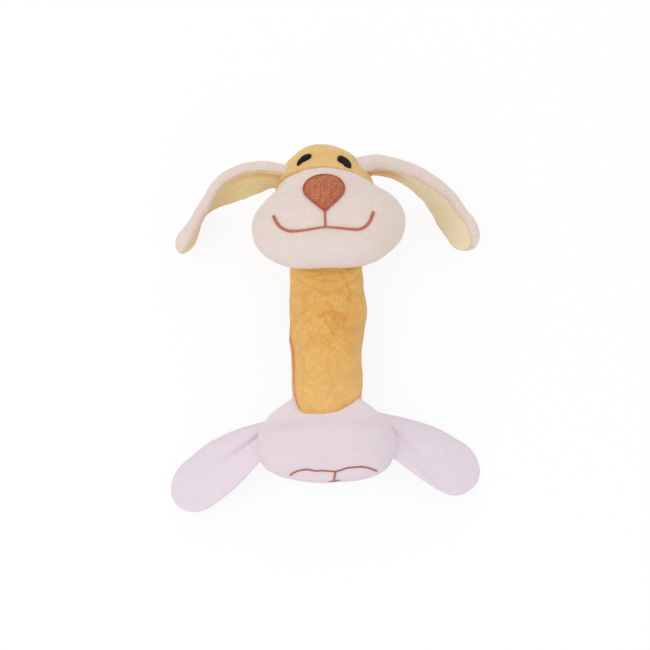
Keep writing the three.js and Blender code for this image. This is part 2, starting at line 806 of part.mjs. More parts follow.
// The toe line runs over the front of the lower edge, and a stroke goes down from it.
function toeGeometry() {
  const place = (x, pitch) => {
    const from = new THREE.Vector3(x, -heel.drop, heelForward);
    const towards = new THREE.Vector3(0, -Math.cos(pitch * degrees), Math.sin(pitch * degrees));
    const skin = skinPoint(footForm, from, towards);
    return skin.addScaledVector(skinNormal(footForm, skin), fit + toe.thread);
  };
  const line = [];
  const [steps, rings] = toeFacets;
  for (let step = 0; step <= steps; step++) {
    const share = (2 * step) / steps - 1;
    const pitch = toe.pitch + toe.bow * Math.sin(Math.PI * Math.abs(share)) - toe.bow * share ** 8;
    line.push(place(toe.aside + toe.halfWidth * share, pitch));
  }
  const stroke = halfwayShares.map((share) => place(toe.aside, lerp(toe.pitch, toe.strokeEnd, share)));
  const lineSolid = solidOf(threadGeometry(line, toe.thread, rings));
  return geometryOf(lineSolid.add(solidOf(threadGeometry(stroke, toe.thread, strokeFacets))));
}

function footGroup() {
  const group = new THREE.Group();
  group.position.set(0, -bodyHalfLength, axisHeight);
  const room = solidOf(swingRoom(1, -tiltForward, tiltBack));
  const skin = formSolid(footForm, 0, outerFacets)
    .subtract(formSolid(footForm, plush, innerFacets))
    .subtract(room)
    .subtract(belowHeight(-axisHeight));
  const front = skin.subtract(belowHeight(heelForward + fit / 2));
  const back = skin.intersect(belowHeight(heelForward - fit / 2));
  const filling = formSolid(footForm, plush + fillingFit, innerFacets).subtract(room);
  group.add(piece('base_front', geometryOf(front), lilacPlush));
  group.add(piece('base_back', geometryOf(back), lilacPlush));
  group.add(piece('base_stuffing', geometryOf(filling), fibre));
  group.add(piece('paw_stitching', toeGeometry(), brownThread));
  for (const [name, leg] of Object.entries(legs)) group.add(legGroup(name, leg));
  return group;
}

const toy = new THREE.Group();
toy.add(bodyGroup());
toy.add(headGroup());
toy.add(footGroup());

export default toy;
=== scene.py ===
"""The looks of a plush dog toy: a stuffed tube with a dog's head on one end and a foot piece with two
padded flaps on the other. +Y runs from the feet to the head, +Z is the side that the face is on, and
the toy's own left is +X. Forms are worked out in millimetres and become metres in new_object. Turns
round the tube are in radians, 0 at its front and growing towards the toy's left."""
import math

import bmesh
import bpy
import numpy as np
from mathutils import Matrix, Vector


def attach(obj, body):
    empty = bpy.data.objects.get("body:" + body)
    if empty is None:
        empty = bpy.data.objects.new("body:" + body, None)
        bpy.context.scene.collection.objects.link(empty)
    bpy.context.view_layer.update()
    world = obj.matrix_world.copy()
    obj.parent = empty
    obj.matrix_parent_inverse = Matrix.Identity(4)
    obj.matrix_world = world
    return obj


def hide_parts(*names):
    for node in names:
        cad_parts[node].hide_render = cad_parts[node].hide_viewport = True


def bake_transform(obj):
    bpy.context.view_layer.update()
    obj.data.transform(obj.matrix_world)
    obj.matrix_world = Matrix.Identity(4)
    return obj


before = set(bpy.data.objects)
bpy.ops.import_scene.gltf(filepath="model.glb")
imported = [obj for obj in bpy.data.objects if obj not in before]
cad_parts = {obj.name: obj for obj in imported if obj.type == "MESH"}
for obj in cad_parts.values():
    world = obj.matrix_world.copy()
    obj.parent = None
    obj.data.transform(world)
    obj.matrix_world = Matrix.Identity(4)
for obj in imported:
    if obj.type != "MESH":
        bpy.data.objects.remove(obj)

MM = 0.001
QUARTER = math.pi / 2
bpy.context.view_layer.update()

# Sizes that the solids have too
BODY_RADIUS, BODY_END_RADIUS, BODY_HALF = 20.6, 20.2, 56.0
AXIS, TABLE_FLAT = 20.1, 0.5
NECK, ANKLE = np.array([0, BODY_HALF, AXIS]), np.array([0, -BODY_HALF, AXIS])
HEAD_LEAN = math.radians(2.0)
FACE_ASIDE = -1.3
CROWN_DEEP, HEEL_DEEP, HEEL_DROP = 28.8, 22.5, 9.5
CROWN_FORWARD = CROWN_DEEP - TABLE_FLAT - AXIS
HEEL_FORWARD = HEEL_DEEP - TABLE_FLAT - AXIS
EAR_HALF, EAR_GAP = 14, 0.3


# ---------------------------------------------------------------- numbers

def unit(v):
    return v / np.maximum(np.linalg.norm(v, axis=-1, keepdims=True), 1e-12)


def xyz(x, y, z):
    return np.stack(np.broadcast_arrays(x, y, z), axis=-1)


def smooth(x, low, high):
    """A soft step from 0 at low to 1 at high; low may be the greater."""
    t = np.clip((x - low) / (high - low), 0.0, 1.0)
    return t * t * (3 - 2 * t)


def bump(x, centre, width):
    return np.exp(-(((x - centre) / width) ** 2))


def eased(x, values, slack=0.05, steps=None):
    """Values at the given steps, or at equal ones from 0 to 1, run through without corners."""
    steps = np.linspace(0, 1, len(values)) if steps is None else steps
    return sum(
        weight * np.interp(x + shift, steps, values)
        for shift, weight in ((-slack, 0.25), (0, 0.5), (slack, 0.25))
    )


def hashed(cells, seed):
    """A number from -1 to 1 for each cell of a grid, always the same."""
    h = cells[..., 0] * 374761393 + cells[..., 1] * 668265263 + cells[..., 2] * 2147483647 + seed * 974711
    h = h & 0xFFFFFFFF
    h = ((h ^ (h >> 13)) * 1274126177) & 0xFFFFFFFF
    h = ((h ^ (h >> 16)) * 2246822519) & 0xFFFFFFFF
    return ((h ^ (h >> 15)) & 0xFFFFFF) / 0x7FFFFF - 1.0


def noise(points, size, seed):
    """Smooth noise from -1 to 1, with lumps of the given size."""
    p = np.asarray(points, float) / size + 1000.0
    cell = np.floor(p).astype(np.int64)
    f = p - cell
    f = f * f * (3 - 2 * f)
    total = 0.0
    for corner in range(8):
        step = np.array([corner & 1, (corner >> 1) & 1, (corner >> 2) & 1])
        total = total + np.prod(np.where(step, f, 1 - f), axis=-1) * hashed(cell + step, seed)
    return total


def lumps(p, layers):
    """A cloth's unevenness, from layers that each have a height, a size and a seed."""
    return sum(height * noise(p, size, seed) for height, size, seed in layers)


def gathers(turn, y, seed):
    """Fine folds that run along the tube."""
    return noise(xyz(turn * 9, y * 0.12, 0 * y), 1.0, seed)


def lengths_along(path):
    return np.concatenate([[0], np.cumsum(np.linalg.norm(np.diff(path, axis=0), axis=1))])


def sampled(path, places, at):
    """A path's points at other places along it."""
    return np.stack([np.interp(at, places, column) for column in np.transpose(path)], axis=-1)


def rows_to_tip(count, knee, reached):
    """Places from 0 to 1 that lie closer together past the knee, by which they have reached a share."""
    s = np.linspace(0, 1, count)
    late = reached + (1 - reached) * np.sin((s - knee) / (1 - knee) * QUARTER)
    share = np.where(s < knee, s / knee * reached, late)
    share[-1] = 1.0
    return share


# Layers of unevenness: the short pile's own and those of each cloth
PILE = ((0.10, 1.5, 91), (0.05, 0.8, 92))
TUBE_LUMPS = PILE + ((0.45, 14, 3), (0.25, 6, 5), (0.12, 3.2, 9))
HEAD_LUMPS = PILE + ((0.5, 17, 11), (0.22, 7, 12), (0.14, 3.2, 14))
FOOT_LUMPS = PILE + ((0.5, 15, 61), (0.2, 6, 62), (0.1, 3.2, 65))
EAR_LUMPS = PILE + ((0.4, 10, 41),)
LEG_LUMPS = ((0.4, 12, 51), (0.2, 5, 52))


# ---------------------------------------------------------------- soft forms

def form_distance(form, p):
    """How far a point is outside a form of lobes that flow into one another, and below 0 inside."""
    d = None
    for centre, radius in form["lobes"]:
        scaled = (p - centre) / radius
        k0 = np.linalg.norm(scaled, axis=-1)
        k1 = np.maximum(np.linalg.norm(scaled / radius, axis=-1), 1e-9)
        value = k0 * (k0 - 1) / k1
        if d is None:
            d = value
        else:
            share = np.maximum(form["blend"] - np.abs(d - value), 0) / form["blend"]
            d = np.minimum(d, value) - share ** 2 * form["blend"] / 4
    return d


def skin_points(form, starts, directions):
    """Where straight lines from inside a form reach its surface."""
    starts, directions = np.broadcast_arrays(starts, directions)
    inside = np.zeros(len(starts))
    outside = np.full(len(starts), form["reach"])
    for _ in range(30):
        middle = (inside + outside) / 2
        within = form_distance(form, starts + directions * middle[:, None]) < 0
        inside = np.where(within, middle, inside)
        outside = np.where(within, outside, middle)
    return starts + directions * inside[:, None]


def slope(field, p, step=0.2):
    g = np.empty_like(p)
    for axis in range(3):
        shift = np.zeros(3)
        shift[axis] = step
        g[:, axis] = (field(p + shift) - field(p - shift)) / (2 * step)
    return g


def skin_normals(form, p):
    return unit(slope(lambda q: form_distance(form, q), p))


def lobe(x, y, z, wide, tall, deep):
    return np.array([x, y, z]), np.array([wide, tall, deep])


HEAD = {
    "lobes": [
        lobe(0, 24.5, CROWN_FORWARD, 28.5, 28.5, CROWN_DEEP),
        lobe(0, 8, 28, 27, 22, 26),
        lobe(12.6, -5.5, 31, 29.5, 22.5, 24.5),
        lobe(-12.6, -5.5, 31, 29.5, 22.5, 24.5),
    ],
    "heart": np.array([0, 8.0, 25.0]), "blend": 9.0, "reach": 80.0,
}
FOOT = {
    "lobes": [
        lobe(0, -2, 0.8, 25, 25, 19.5),
        lobe(12, -HEEL_DROP, HEEL_FORWARD, 25, 22.5, HEEL_DEEP),
        lobe(-12, -HEEL_DROP, HEEL_FORWARD, 25, 22.5, HEEL_DEEP),
    ],
    "heart": np.array([0, -HEEL_DROP, HEEL_FORWARD]), "blend": 9.0, "reach": 70.0,
}


def leaned(p, turn):
    c, s = math.cos(turn), math.sin(turn)
    x, y, z = p[..., 0], p[..., 1], p[..., 2]
    return xyz(c * x - s * y, s * x + c * y, z)


def head_to_toy(p):
    return leaned(p, HEAD_LEAN) + NECK


def toy_to_head(p):
    return leaned(p - NECK, -HEAD_LEAN)


def foot_to_toy(p):
    return p + ANKLE


# ---------------------------------------------------------------- meshes

def ball(level):
    """Unit directions and faces of a finely divided ball, to be pulled out onto a form."""
    b = bmesh.new()
    bmesh.ops.create_icosphere(b, subdivisions=level, radius=1.0)
    directions = np.array([v.co[:] for v in b.verts])
    faces = np.array([[v.index for v in f.verts] for f in b.faces])
    b.free()
    return unit(directions), faces


def face_edges(faces):
    return np.concatenate([faces[:, [0, 1]], faces[:, [1, 2]], faces[:, [2, 0]]])


def cut_ready(form, points, faces, field):
    """Moves the points nearest to a cut onto it, along the form, so that no face crosses it. Gives
    the points and the field's value at each."""
    points = points.copy()
    a, b = face_edges(faces).T
    for _ in range(3):
        value = field(points)
        nearest = np.minimum(np.abs(value[a]), np.abs(value[b]))
        crossing = (value[a] * value[b] < 0) & (nearest > 1e-4)
        if not crossing.any():
            break
        moved = np.unique(np.where(np.abs(value[a]) < np.abs(value[b]), a, b)[crossing])
        p = points[moved]
        for _ in range(6):
            g = slope(field, p, 0.05)
            out = unit(p - form["heart"])
            g = g - out * np.sum(g * out, axis=1, keepdims=True)
            step = np.clip(field(p) / np.maximum(np.sum(g * g, axis=1), 1e-3), -1.5, 1.5)
            p = skin_points(form, form["heart"], unit(p - g * step[:, None] - form["heart"]))
        points[moved] = p
    value = field(points)
    value[np.abs(value) < 0.02] = 0.0
    return points, value


def side_of(faces, value, sign):
    """The faces of one side of a cut."""
    v = value[faces] * sign
    return faces[(v.max(axis=1) > 0) & (v.min(axis=1) > -0.25)]


def used_only(points, faces, *others):
    used = np.unique(faces)
    renumber = np.full(len(points), -1)
    renumber[used] = np.arange(len(used))
    return (points[used], renumber[faces]) + tuple(o[used] for o in others)


def rim_edges(faces):
    """Edges that only one face has, as (from, to) in the face's own order."""
    edges = face_edges(faces)
    _, inverse, counts = np.unique(np.sort(edges, axis=1), axis=0, return_inverse=True, return_counts=True)
    return edges[counts[inverse.ravel()] == 1]


def tucked(points, faces, inward, depths=(0.9, 2.0)):
    """Turns the open rim in: rows of faces that go down from it along the inward directions."""
    edges = rim_edges(faces)
    last = rim = np.unique(edges)
    a, b = np.searchsorted(rim, edges).T
    rows, all_faces = [points], faces.tolist()
    for row, depth in enumerate(depths):
        rows.append(points[rim] + inward[rim] * depth)
        new = len(points) + row * len(rim) + np.arange(len(rim))
        all_faces += np.column_stack([last[b], last[a], new[a], new[b]]).tolist()
        last = new
    return np.concatenate(rows), all_faces


def grid_faces(rows, columns, wrap):
    """Faces of a grid of points, rows by columns; wrap joins the last column to the first."""
    r, c = np.meshgrid(np.arange(rows - 1), np.arange(columns if wrap else columns - 1), indexing="ij")
    n = (c + 1) % columns
    corners = (r * columns + c, (r + 1) * columns + c, (r + 1) * columns + n, r * columns + n)
    return np.stack(corners, axis=-1).reshape(-1, 4)


def closed_grid(rows, around):
    """Faces of a grid that goes round, with a face over each end."""
    caps = [list(range(around)), list(range((rows - 1) * around, rows * around))]
    return grid_faces(rows, around, True).tolist() + caps


def settle(points, soft=1.2):
    """Presses what would lie under the table flat onto it, with a soft edge."""
    p = points.copy()
    z = p[:, 2]
    p[:, 2] = np.where(z > soft, z, np.where(z < -soft, 0.0, (z + soft) ** 2 / (4 * soft)))
    return p


def new_object(name, points, faces, scale=MM):
    mesh = bpy.data.meshes.new(name)
    mesh.from_pydata((np.asarray(points) * scale).tolist(), [], [list(map(int, f)) for f in faces])
    obj = bpy.data.objects.new(name, mesh)
    bpy.context.scene.collection.objects.link(obj)
    return obj


def mesh_object(name, points, faces, material, crease=None):
    """A smooth piece. crease, 0 to 1 at each point, is painted shade that deepens the colour there, and
    rest_place keeps the material's patterns where they are at rest when the piece moves or bends."""
    obj = new_object(name, points, faces)
    mesh = obj.data
    mesh.validate()
    b = bmesh.new()
    b.from_mesh(mesh)
    bmesh.ops.recalc_face_normals(b, faces=b.faces)
    b.to_mesh(mesh)
    b.free()
    mesh.polygons.foreach_set("use_smooth", np.ones(len(mesh.polygons), bool))
    co = np.empty(len(mesh.vertices) * 3, np.float32)
    mesh.vertices.foreach_get("co", co)
    mesh.attributes.new("rest_place", "FLOAT_VECTOR", "POINT").data.foreach_set("vector", co)
    # Painted shade, 0 to 1 at each point
    deep = np.zeros(len(mesh.vertices)) if crease is None else np.clip(crease, 0, 1)
    mesh.attributes.new("crease", "FLOAT", "POINT").data.foreach_set("value", deep.astype(np.float32))
    mesh.materials.append(material)
    mesh.update()
    return obj


# ---------------------------------------------------------------- cloth

CLOTH_FRAMES = 20
CLOTH_SCALE = 10 * MM
CLOTH = dict(
    quality=7, mass=0.2, tension_stiffness=14, compression_stiffness=14, shear_stiffness=5,
    bending_stiffness=0.4, use_pressure=True, vertex_group_mass="held",
)


def filled_out(points, faces, held, pressure, cap, grown=0.0):
    """Where Blender's cloth moves the points of a closed stuffed form, in millimetres. held is 1 where
    the cloth is sewn to something and 0 where it is free. It is worked out at ten times life size, at
    which the solver's own limits don't matter, and no point moves further than cap."""
    scene = bpy.context.scene
    obj = new_object("cloth_work", points, faces, CLOTH_SCALE)
    mesh = obj.data
    group = obj.vertex_groups.new(name="held")
    for index, weight in enumerate(held):
        if weight > 0.001:
            group.add([index], float(weight), "REPLACE")
    cloth = obj.modifiers.new("cloth", "CLOTH")
    for name, value in CLOTH.items():
        setattr(cloth.settings, name, value)
    cloth.settings.uniform_pressure_force = pressure
    cloth.settings.shrink_min = -grown
    cloth.settings.effector_weights.gravity = 0
    cloth.collision_settings.use_collision = False
    cloth.point_cache.frame_start = 1
    cloth.point_cache.frame_end = CLOTH_FRAMES
    for frame_number in range(1, CLOTH_FRAMES + 1):
        scene.frame_set(frame_number)
    shape = obj.evaluated_get(bpy.context.evaluated_depsgraph_get()).to_mesh()
    co = np.empty(len(shape.vertices) * 3, np.float32)
    shape.vertices.foreach_get("co", co)
    moved = co.reshape(-1, 3).astype(float) / CLOTH_SCALE - points
    scene.frame_set(1)
    bpy.data.objects.remove(obj)
    bpy.data.meshes.remove(mesh)
    size = np.linalg.norm(moved, axis=1, keepdims=True)
    return moved * np.minimum(1, cap / np.maximum(size, 1e-9))


def calmed(moved, wrap, times=3):
    """Takes the finest buckles out of a grid of movements; wrap says that its columns go round."""
    for _ in range(times):
        rows = np.concatenate([moved[:1], moved, moved[-1:]])
        moved = rows[:-2] / 4 + rows[1:-1] / 2 + rows[2:] / 4
        ends = (moved[:, -1:], moved[:, :1]) if wrap else (moved[:, :1], moved[:, -1:])
        columns = np.concatenate([ends[0], moved, ends[1]], axis=1)
        moved = columns[:, :-2] / 4 + columns[:, 1:-1] / 2 + columns[:, 2:] / 4
    return moved


def between(old, new):
    """Weights that carry values at the old places over to the new ones, smoothly."""
    weights = np.zeros((len(new), len(old)))
    cell = np.clip(np.searchsorted(old, new, side="right") - 1, 0, len(old) - 2)
    t = np.clip((new - old[cell]) / (old[cell + 1] - old[cell]), 0, 1)
    cubic = (
        0.5 * (-t + 2 * t ** 2 - t ** 3), 0.5 * (2 - 5 * t ** 2 + 3 * t ** 3),
        0.5 * (t + 4 * t ** 2 - 3 * t ** 3), 0.5 * (-t ** 2 + t ** 3),
    )
    for shift, w in zip((-1, 0, 1, 2), cubic):
        np.add.at(weights, (np.arange(len(new)), np.clip(cell + shift, 0, len(old) - 1)), w)
    return weights


def carried(moved, rows, columns, new_rows, new_columns):
    """A coarse grid of movements at the places of a finer grid."""
    along = between(rows, np.clip(new_rows, rows[0], rows[-1]))
    return np.einsum("ri,ijk,cj->rck", along, moved, between(columns, new_columns))


def swell(form, held, pressure):
    """Runs the cloth of a stuffed form and keeps, for each of a ball's directions, how far it stands
    above or below the form. held tells where the cloth is sewn."""
    directions, faces = ball(5)
    skin = skin_points(form, form["heart"], directions)
    sewn = held(skin)
    moved = filled_out(skin, faces, sewn, pressure, cap=2.0)
    rise = np.sum(moved * skin_normals(form, skin), axis=1)
    form["rise"] = directions.astype(np.float32), (rise - rise[sewn < 0.05].mean()).astype(np.float32)


def rise_at(form, p, width=0.045, batch=4096):
    """How far the cloth stands above the form at points near it."""
    directions, rise = form["rise"]
    towards = unit(p - form["heart"]).astype(np.float32)
    total = np.empty(len(towards))
    for start in range(0, len(towards), batch):
        near = np.exp((towards[start:start + batch] @ directions.T - 1) / width ** 2)
        total[start:start + batch] = near @ rise / near.sum(axis=1)
    return total


# ---------------------------------------------------------------- materials

class Nodes:
    """A short way to write shader nodes. In add, a socket's name has _ for each space, and a name that
    starts with _ is a setting of the node."""

    def __init__(self, owner):
        self.owner = owner
        owner.use_nodes = True
        self.tree = owner.node_tree
        self.tree.nodes.clear()

    def put(self, socket, value):
        if isinstance(value, bpy.types.NodeSocket):
            self.tree.links.new(value, socket)
        else:
            socket.default_value = value

    def add(self, kind, **values):
        node = self.tree.nodes.new("ShaderNode" + kind)
        for key, value in values.items():
            if key.startswith("_"):
                setattr(node, key[1:], value)
            else:
                self.put(node.inputs[key.replace("_", " ")], value)
        return node

    def attribute(self, name, output):
        return self.add("Attribute", _attribute_name=name).outputs[output]

    def noise(self, vector, size, detail=2.0, roughness=0.5, distortion=0.0):
        return self.add(
            "TexNoise", Vector=vector, Scale=1 / (size * MM), Detail=detail, Roughness=roughness,
            Distortion=distortion,
        ).outputs["Fac"]

    def stretched(self, vector, scale):
        return self.add("Mapping", Vector=vector, Scale=scale).outputs["Vector"]

    def ramp(self, value, low, high, low_to=0.0, high_to=1.0):
        return self.add(
            "MapRange", Value=value, From_Min=low, From_Max=high, To_Min=low_to, To_Max=high_to,
        ).outputs["Result"]

    def indexed(self, node, *pairs):
        for index, value in pairs:
            self.put(node.inputs[index], value)
        return node

    def math(self, operation, a, b):
        return self.indexed(self.add("Math", _operation=operation), (0, a), (1, b)).outputs[0]

    def times(self, a, b):
        return self.math("MULTIPLY", a, b)

    def mix(self, factor, a, b):
        return self.indexed(self.add("Mix", _data_type="RGBA"), (0, factor), (6, a), (7, b)).outputs[2]

    def surface(self, colour, height, strength, distance, **values):
        """Ends a material: a plain shader over a relief, whose distance is in millimetres."""
        relief = self.add("Bump", Height=height, Strength=strength, Distance=distance * MM)
        shader = self.add("BsdfPrincipled", Normal=relief.outputs[0], Base_Color=colour, **values)
        return self.finish(shader)

    def finish(self, shader, output="OutputMaterial"):
        self.add(output, Surface=shader.outputs[0])
        return self.owner


def linear(r, g, b):
    """A colour as it shows, 0 to 255, as the number that a shader wants."""
    def one(v):
        v /= 255
        return v / 12.92 if v <= 0.04045 else ((v + 0.055) / 1.055) ** 2.4
    return (one(r), one(g), one(b), 1.0)


def plush_material(
    name, light, dark, deep, grain, depth, mottle, sheen=0.35, sheen_tint=(255, 246, 238), along=(1, 1, 1),
    paler=(),
):
    """Short pile: tufts of the size of grain, darker where they part, slow patches over them, and the
    deep colour as painted shade where the crease attribute is set. paler lists colours that it turns to
    along the toy, some of them painted light: the colour, from where, to where and how much."""
    n = Nodes(bpy.data.materials.new(name))
    at = n.attribute("rest_place", "Vector")
    combed = n.stretched(at, along)
    tufts = n.noise(combed, grain, 3.0, 0.6, 0.6)
    fine = n.noise(combed, grain * 0.35, 2.0, 0.7)
    patches = n.ramp(n.noise(at, 9.0, 3.0, 0.55, 1.0), 0.35, 0.68, 1 - mottle, 1.0)
    dapple = n.ramp(n.noise(at, 3.2, 2.0, 0.5, 0.8), 0.3, 0.7, 1 - mottle * 0.5, 1.0)
    parted = n.times(n.ramp(tufts, 0.34, 0.62), 0.6)
    lit = n.math("ADD", parted, n.ramp(fine, 0.3, 0.7, 0.0, 0.4))
    colour = n.mix(n.times(lit, n.times(patches, dapple)), linear(*dark), linear(*light))
    for to_colour, start, end, amount in paler:
        y = n.add("SeparateXYZ", Vector=at).outputs["Y"]
        colour = n.mix(n.ramp(y, start * MM, end * MM, 0.0, amount), colour, linear(*to_colour))
    # Painted shade: the deep colour where the crease attribute is set
    creased = n.times(n.attribute("crease", "Fac"), n.ramp(tufts, 0.75, 0.35, 0.55, 1.0))
    colour = n.mix(creased, colour, linear(*deep))
    height = n.math("ADD", n.times(tufts, 0.65), n.times(fine, 0.35))
    return n.surface(
        colour, height, 0.9, depth, Roughness=1.0, Specular_IOR_Level=0.15, Sheen_Weight=sheen,
        Sheen_Roughness=0.5, Sheen_Tint=linear(*sheen_tint),
    )


def thread_material(name, light, dark, roughness=0.5, size=0.35, along=(1, 1, 1)):
    n = Nodes(bpy.data.materials.new(name))
    at = n.attribute("rest_place", "Vector")
    strands = n.noise(n.stretched(at, along), size, 2.0, 0.6, 0.5)
    slow = n.ramp(n.noise(at, 2.2), 0.3, 0.65, 0.55, 1.0)
    colour = n.mix(n.times(n.ramp(strands, 0.3, 0.66), slow), linear(*dark), linear(*light))
    return n.surface(colour, strands, 0.6, 0.12, Roughness=roughness, Specular_IOR_Level=0.3)


def plastic_material(name, light, dark, roughness):
    n = Nodes(bpy.data.materials.new(name))
    at = n.attribute("rest_place", "Vector")
    colour = n.mix(n.ramp(n.noise(at, 3.0, 3.0), 0.3, 0.7), linear(*dark), linear(*light))
    return n.surface(colour, n.noise(at, 0.4), 0.2, 0.05, Roughness=roughness)


# The tube's cloth; deep is the painted shade in its creases, along its seam and at the collar
orange = plush_material(
    "orange_plush", (250, 208, 130), (216, 153, 66), (206, 106, 34), grain=0.85, depth=0.5, mottle=0.45,
    # paler: painted light on the tube under the chin, from y 12 and full past y 30; the second colour makes
    # it paler towards the foot piece, from y -14 and full past y -46
    along=(1.3, 0.6, 1.3), paler=[((255, 214, 118), 12, 30, 0.35), ((255, 226, 168), -14, -46, 0.17)],
)
# The crown's cloth; deep is the painted shade along its seam to the face
crown_orange = plush_material(
    "crown_plush", (238, 203, 138), (215, 165, 92), (198, 136, 66), grain=1.1, depth=0.4, mottle=0.3,
    sheen=0.7, sheen_tint=(255, 236, 196),
)
# The face's cloth; deep is the painted shade along its seam to the crown
pink = plush_material(
    "pink_plush", (236, 222, 214), (218, 200, 191), (204, 178, 166), grain=0.9, depth=0.35, mottle=0.25,
    # paler: painted light on the muzzle's underside, from y 37 and full below y 28
    paler=[((234, 238, 244), 37, 28, 0.3)],
)
# The ears' outer cloth; deep is the painted shade on their turned-in rows
ear_pink = plush_material(
    "ear_plush", (238, 223, 214), (220, 200, 191), (204, 174, 160), grain=0.9, depth=0.35, mottle=0.25,
)
# The foot piece's cloth; deep is the painted shade along its side seam
lilac = plush_material(
    "lilac_plush", (231, 217, 225), (220, 205, 212), (206, 182, 192), grain=0.8, depth=0.25, mottle=0.25,
    # paler: painted light on the foot piece's top by the collar, from y -60 and full above y -52
    paler=[((244, 238, 236), -60, -52, 0.35)],
)
# The flaps' cloth; deep is the painted shade in their creases and along their rims
leg_lilac = plush_material(
    "leg_plush", (234, 221, 231), (224, 210, 221), (214, 192, 202), grain=0.8, depth=0.25, mottle=0.25,
)
# The left ear's lining; deep is the painted shade in its fold, over its hollow, at its root and along its
# edges
cream = plush_material(
    "cream_plush", (250, 243, 216), (238, 225, 187), (222, 160, 84), grain=0.9, depth=0.3, mottle=0.35,
)
# A shaded copy of the cream: painted shade over all of the right ear's lining; deep is the painted shade in
# its fold and along its edges
shaded_cream = plush_material(
    "shaded_cream_plush", (240, 224, 180), (222, 202, 150), (222, 160, 84), grain=0.9, depth=0.3, mottle=0.35,
)
nose_brown = thread_material("nose_thread", (228, 142, 94), (118, 50, 32), size=0.55, along=(0.7, 1.7, 1))
border_brown = thread_material("border_thread", (196, 102, 82), (148, 68, 54))
mouth_brown = thread_material("mouth_thread", (208, 124, 106), (166, 86, 72))
toe_brown = thread_material("toe_thread", (190, 126, 106), (150, 92, 76))
black = thread_material("eye_thread", (9, 10, 13), (2, 3, 4), roughness=0.85)
bulb_plastic = plastic_material("bulb_plastic", (236, 232, 220), (214, 210, 196), 0.5)
reed_plastic = plastic_material("reed_plastic", (242, 242, 238), (226, 226, 222), 0.3)


# ---------------------------------------------------------------- tube

# The edge that is sewn to the foot piece, and the seam on the toy's right: turns in degrees, and y
COLLAR_TURNS = [-180, -110, -82, -70, -60, -50, -32, -7, 18, 42, 66, 95, 180]
COLLAR_PLACES = [-34, -33, -34, -37.5, -45, -50.6, -53.0, -54.0, -52.4, -47.6, -40.8, -34.5, -34]
SEAM_TURNS = [-49, -52, -66, -69, -77, -94]
SEAM_PLACES = [-56, -48.8, -35.6, -23.7, -8.6, 20]

# Creases: (y, turn in degrees) along each, then its width, its depth and how much painted shade it has
TUBE_CREASES = [
    ([(30, -62), (24, -40), (19.5, -22), (16, -4), (16.5, 12), (21, 30), (27, 50), (33, 70)], 1.1, 0.45, 0.2),
    ([(23, -6), (24, 6), (23, 19)], 0.9, 0.4, 0.3),
    ([(27.5, -34), (26, -20), (27, -8)], 0.8, 0.5, 0.4),
    ([(30, 22), (24, 34), (18, 40), (13, 36)], 1.3, 0.6, 0.3),
    ([(2, -12), (4.5, 2), (4.5, 18), (1.5, 30)], 1.3, 0.7, 0.45),
    ([(1.5, 14), (-2.5, 24), (-5, 38), (-2, 58), (4, 84)], 1.7, 0.8, 0.3),
    ([(-3, 20), (-8, 8), (-12, 2), (-17, 8)], 1.2, 0.5, 0.3),
    ([(-1, -2), (-3, 6), (-8, 12)], 1.0, 0.4, 0.3),
]
CHIN_FOLD = [(36, -50), (29, -27), (22, 0), (23, 22), (34, 50)]

# Swellings: height, the form of the rise along y with its two places, then middle and width of the turn
TUBE_SWELLINGS = (
    (2.9, bump, 12.5, 11, math.radians(86), math.radians(38)),
    (-0.7, smooth, -4, -12, math.radians(84), math.radians(34)),
    (0.8, smooth, -14, 2, -QUARTER, 0.6),
    (-1.1, smooth, -2, -22, -QUARTER, 0.5),
)
SEAM_DEPTH, SEAM_WIDTH, LIP_HEIGHT, LIP_ASIDE, LIP_WIDTH = 0.5, 0.06, 0.15, 0.15, 0.11
COLLAR_DEPTH, COLLAR_WIDTH, COLLAR_TURN = 1.3, 2.2, 1.15
# The groove where the head meets the tube
GROOVE_DEPTH, GROOVE_WIDTH = 0.9, 1.8
# Shaded places: amount, y and its width, turn and its width
TUBE_SHADES = ((0.32, 2, 4.5, math.radians(22), 0.28), (0.12, 28, 7, 0, 1.2))


def round_axis(radius, turn, y, height=0.0):
    return xyz(radius * np.sin(turn), y, radius * np.cos(turn) + height)


def tube_radius(y):
    return BODY_RADIUS + (BODY_END_RADIUS - BODY_RADIUS) * np.minimum((y / BODY_HALF) ** 2, 1)


def out_of_tube(p):
    """How far a point in the toy's frame is from the tube's side, above 0 outside."""
    return np.hypot(p[..., 0], p[..., 2] - AXIS) - tube_radius(p[..., 1])


def collar(turn):
    return eased(turn, COLLAR_PLACES, 0.09, np.radians(COLLAR_TURNS))


def tube_seam(y):
    return np.radians(np.interp(y, SEAM_PLACES, SEAM_TURNS))


def swag(y, turn, points, width):
    """How near a place on the tube is to a crease through the given points."""
    best = np.zeros_like(y)
    px = turn * BODY_RADIUS
    for (y0, t0), (y1, t1) in zip(points, points[1:]):
        x0, x1 = np.radians(t0) * BODY_RADIUS, np.radians(t1) * BODY_RADIUS
        dx, dy = x1 - x0, y1 - y0
        share = np.clip(((px - x0) * dx + (y - y0) * dy) / (dx * dx + dy * dy), 0, 1)
        best = np.maximum(best, bump(np.hypot(px - x0 - share * dx, y - y0 - share * dy), 0, width))
    return best


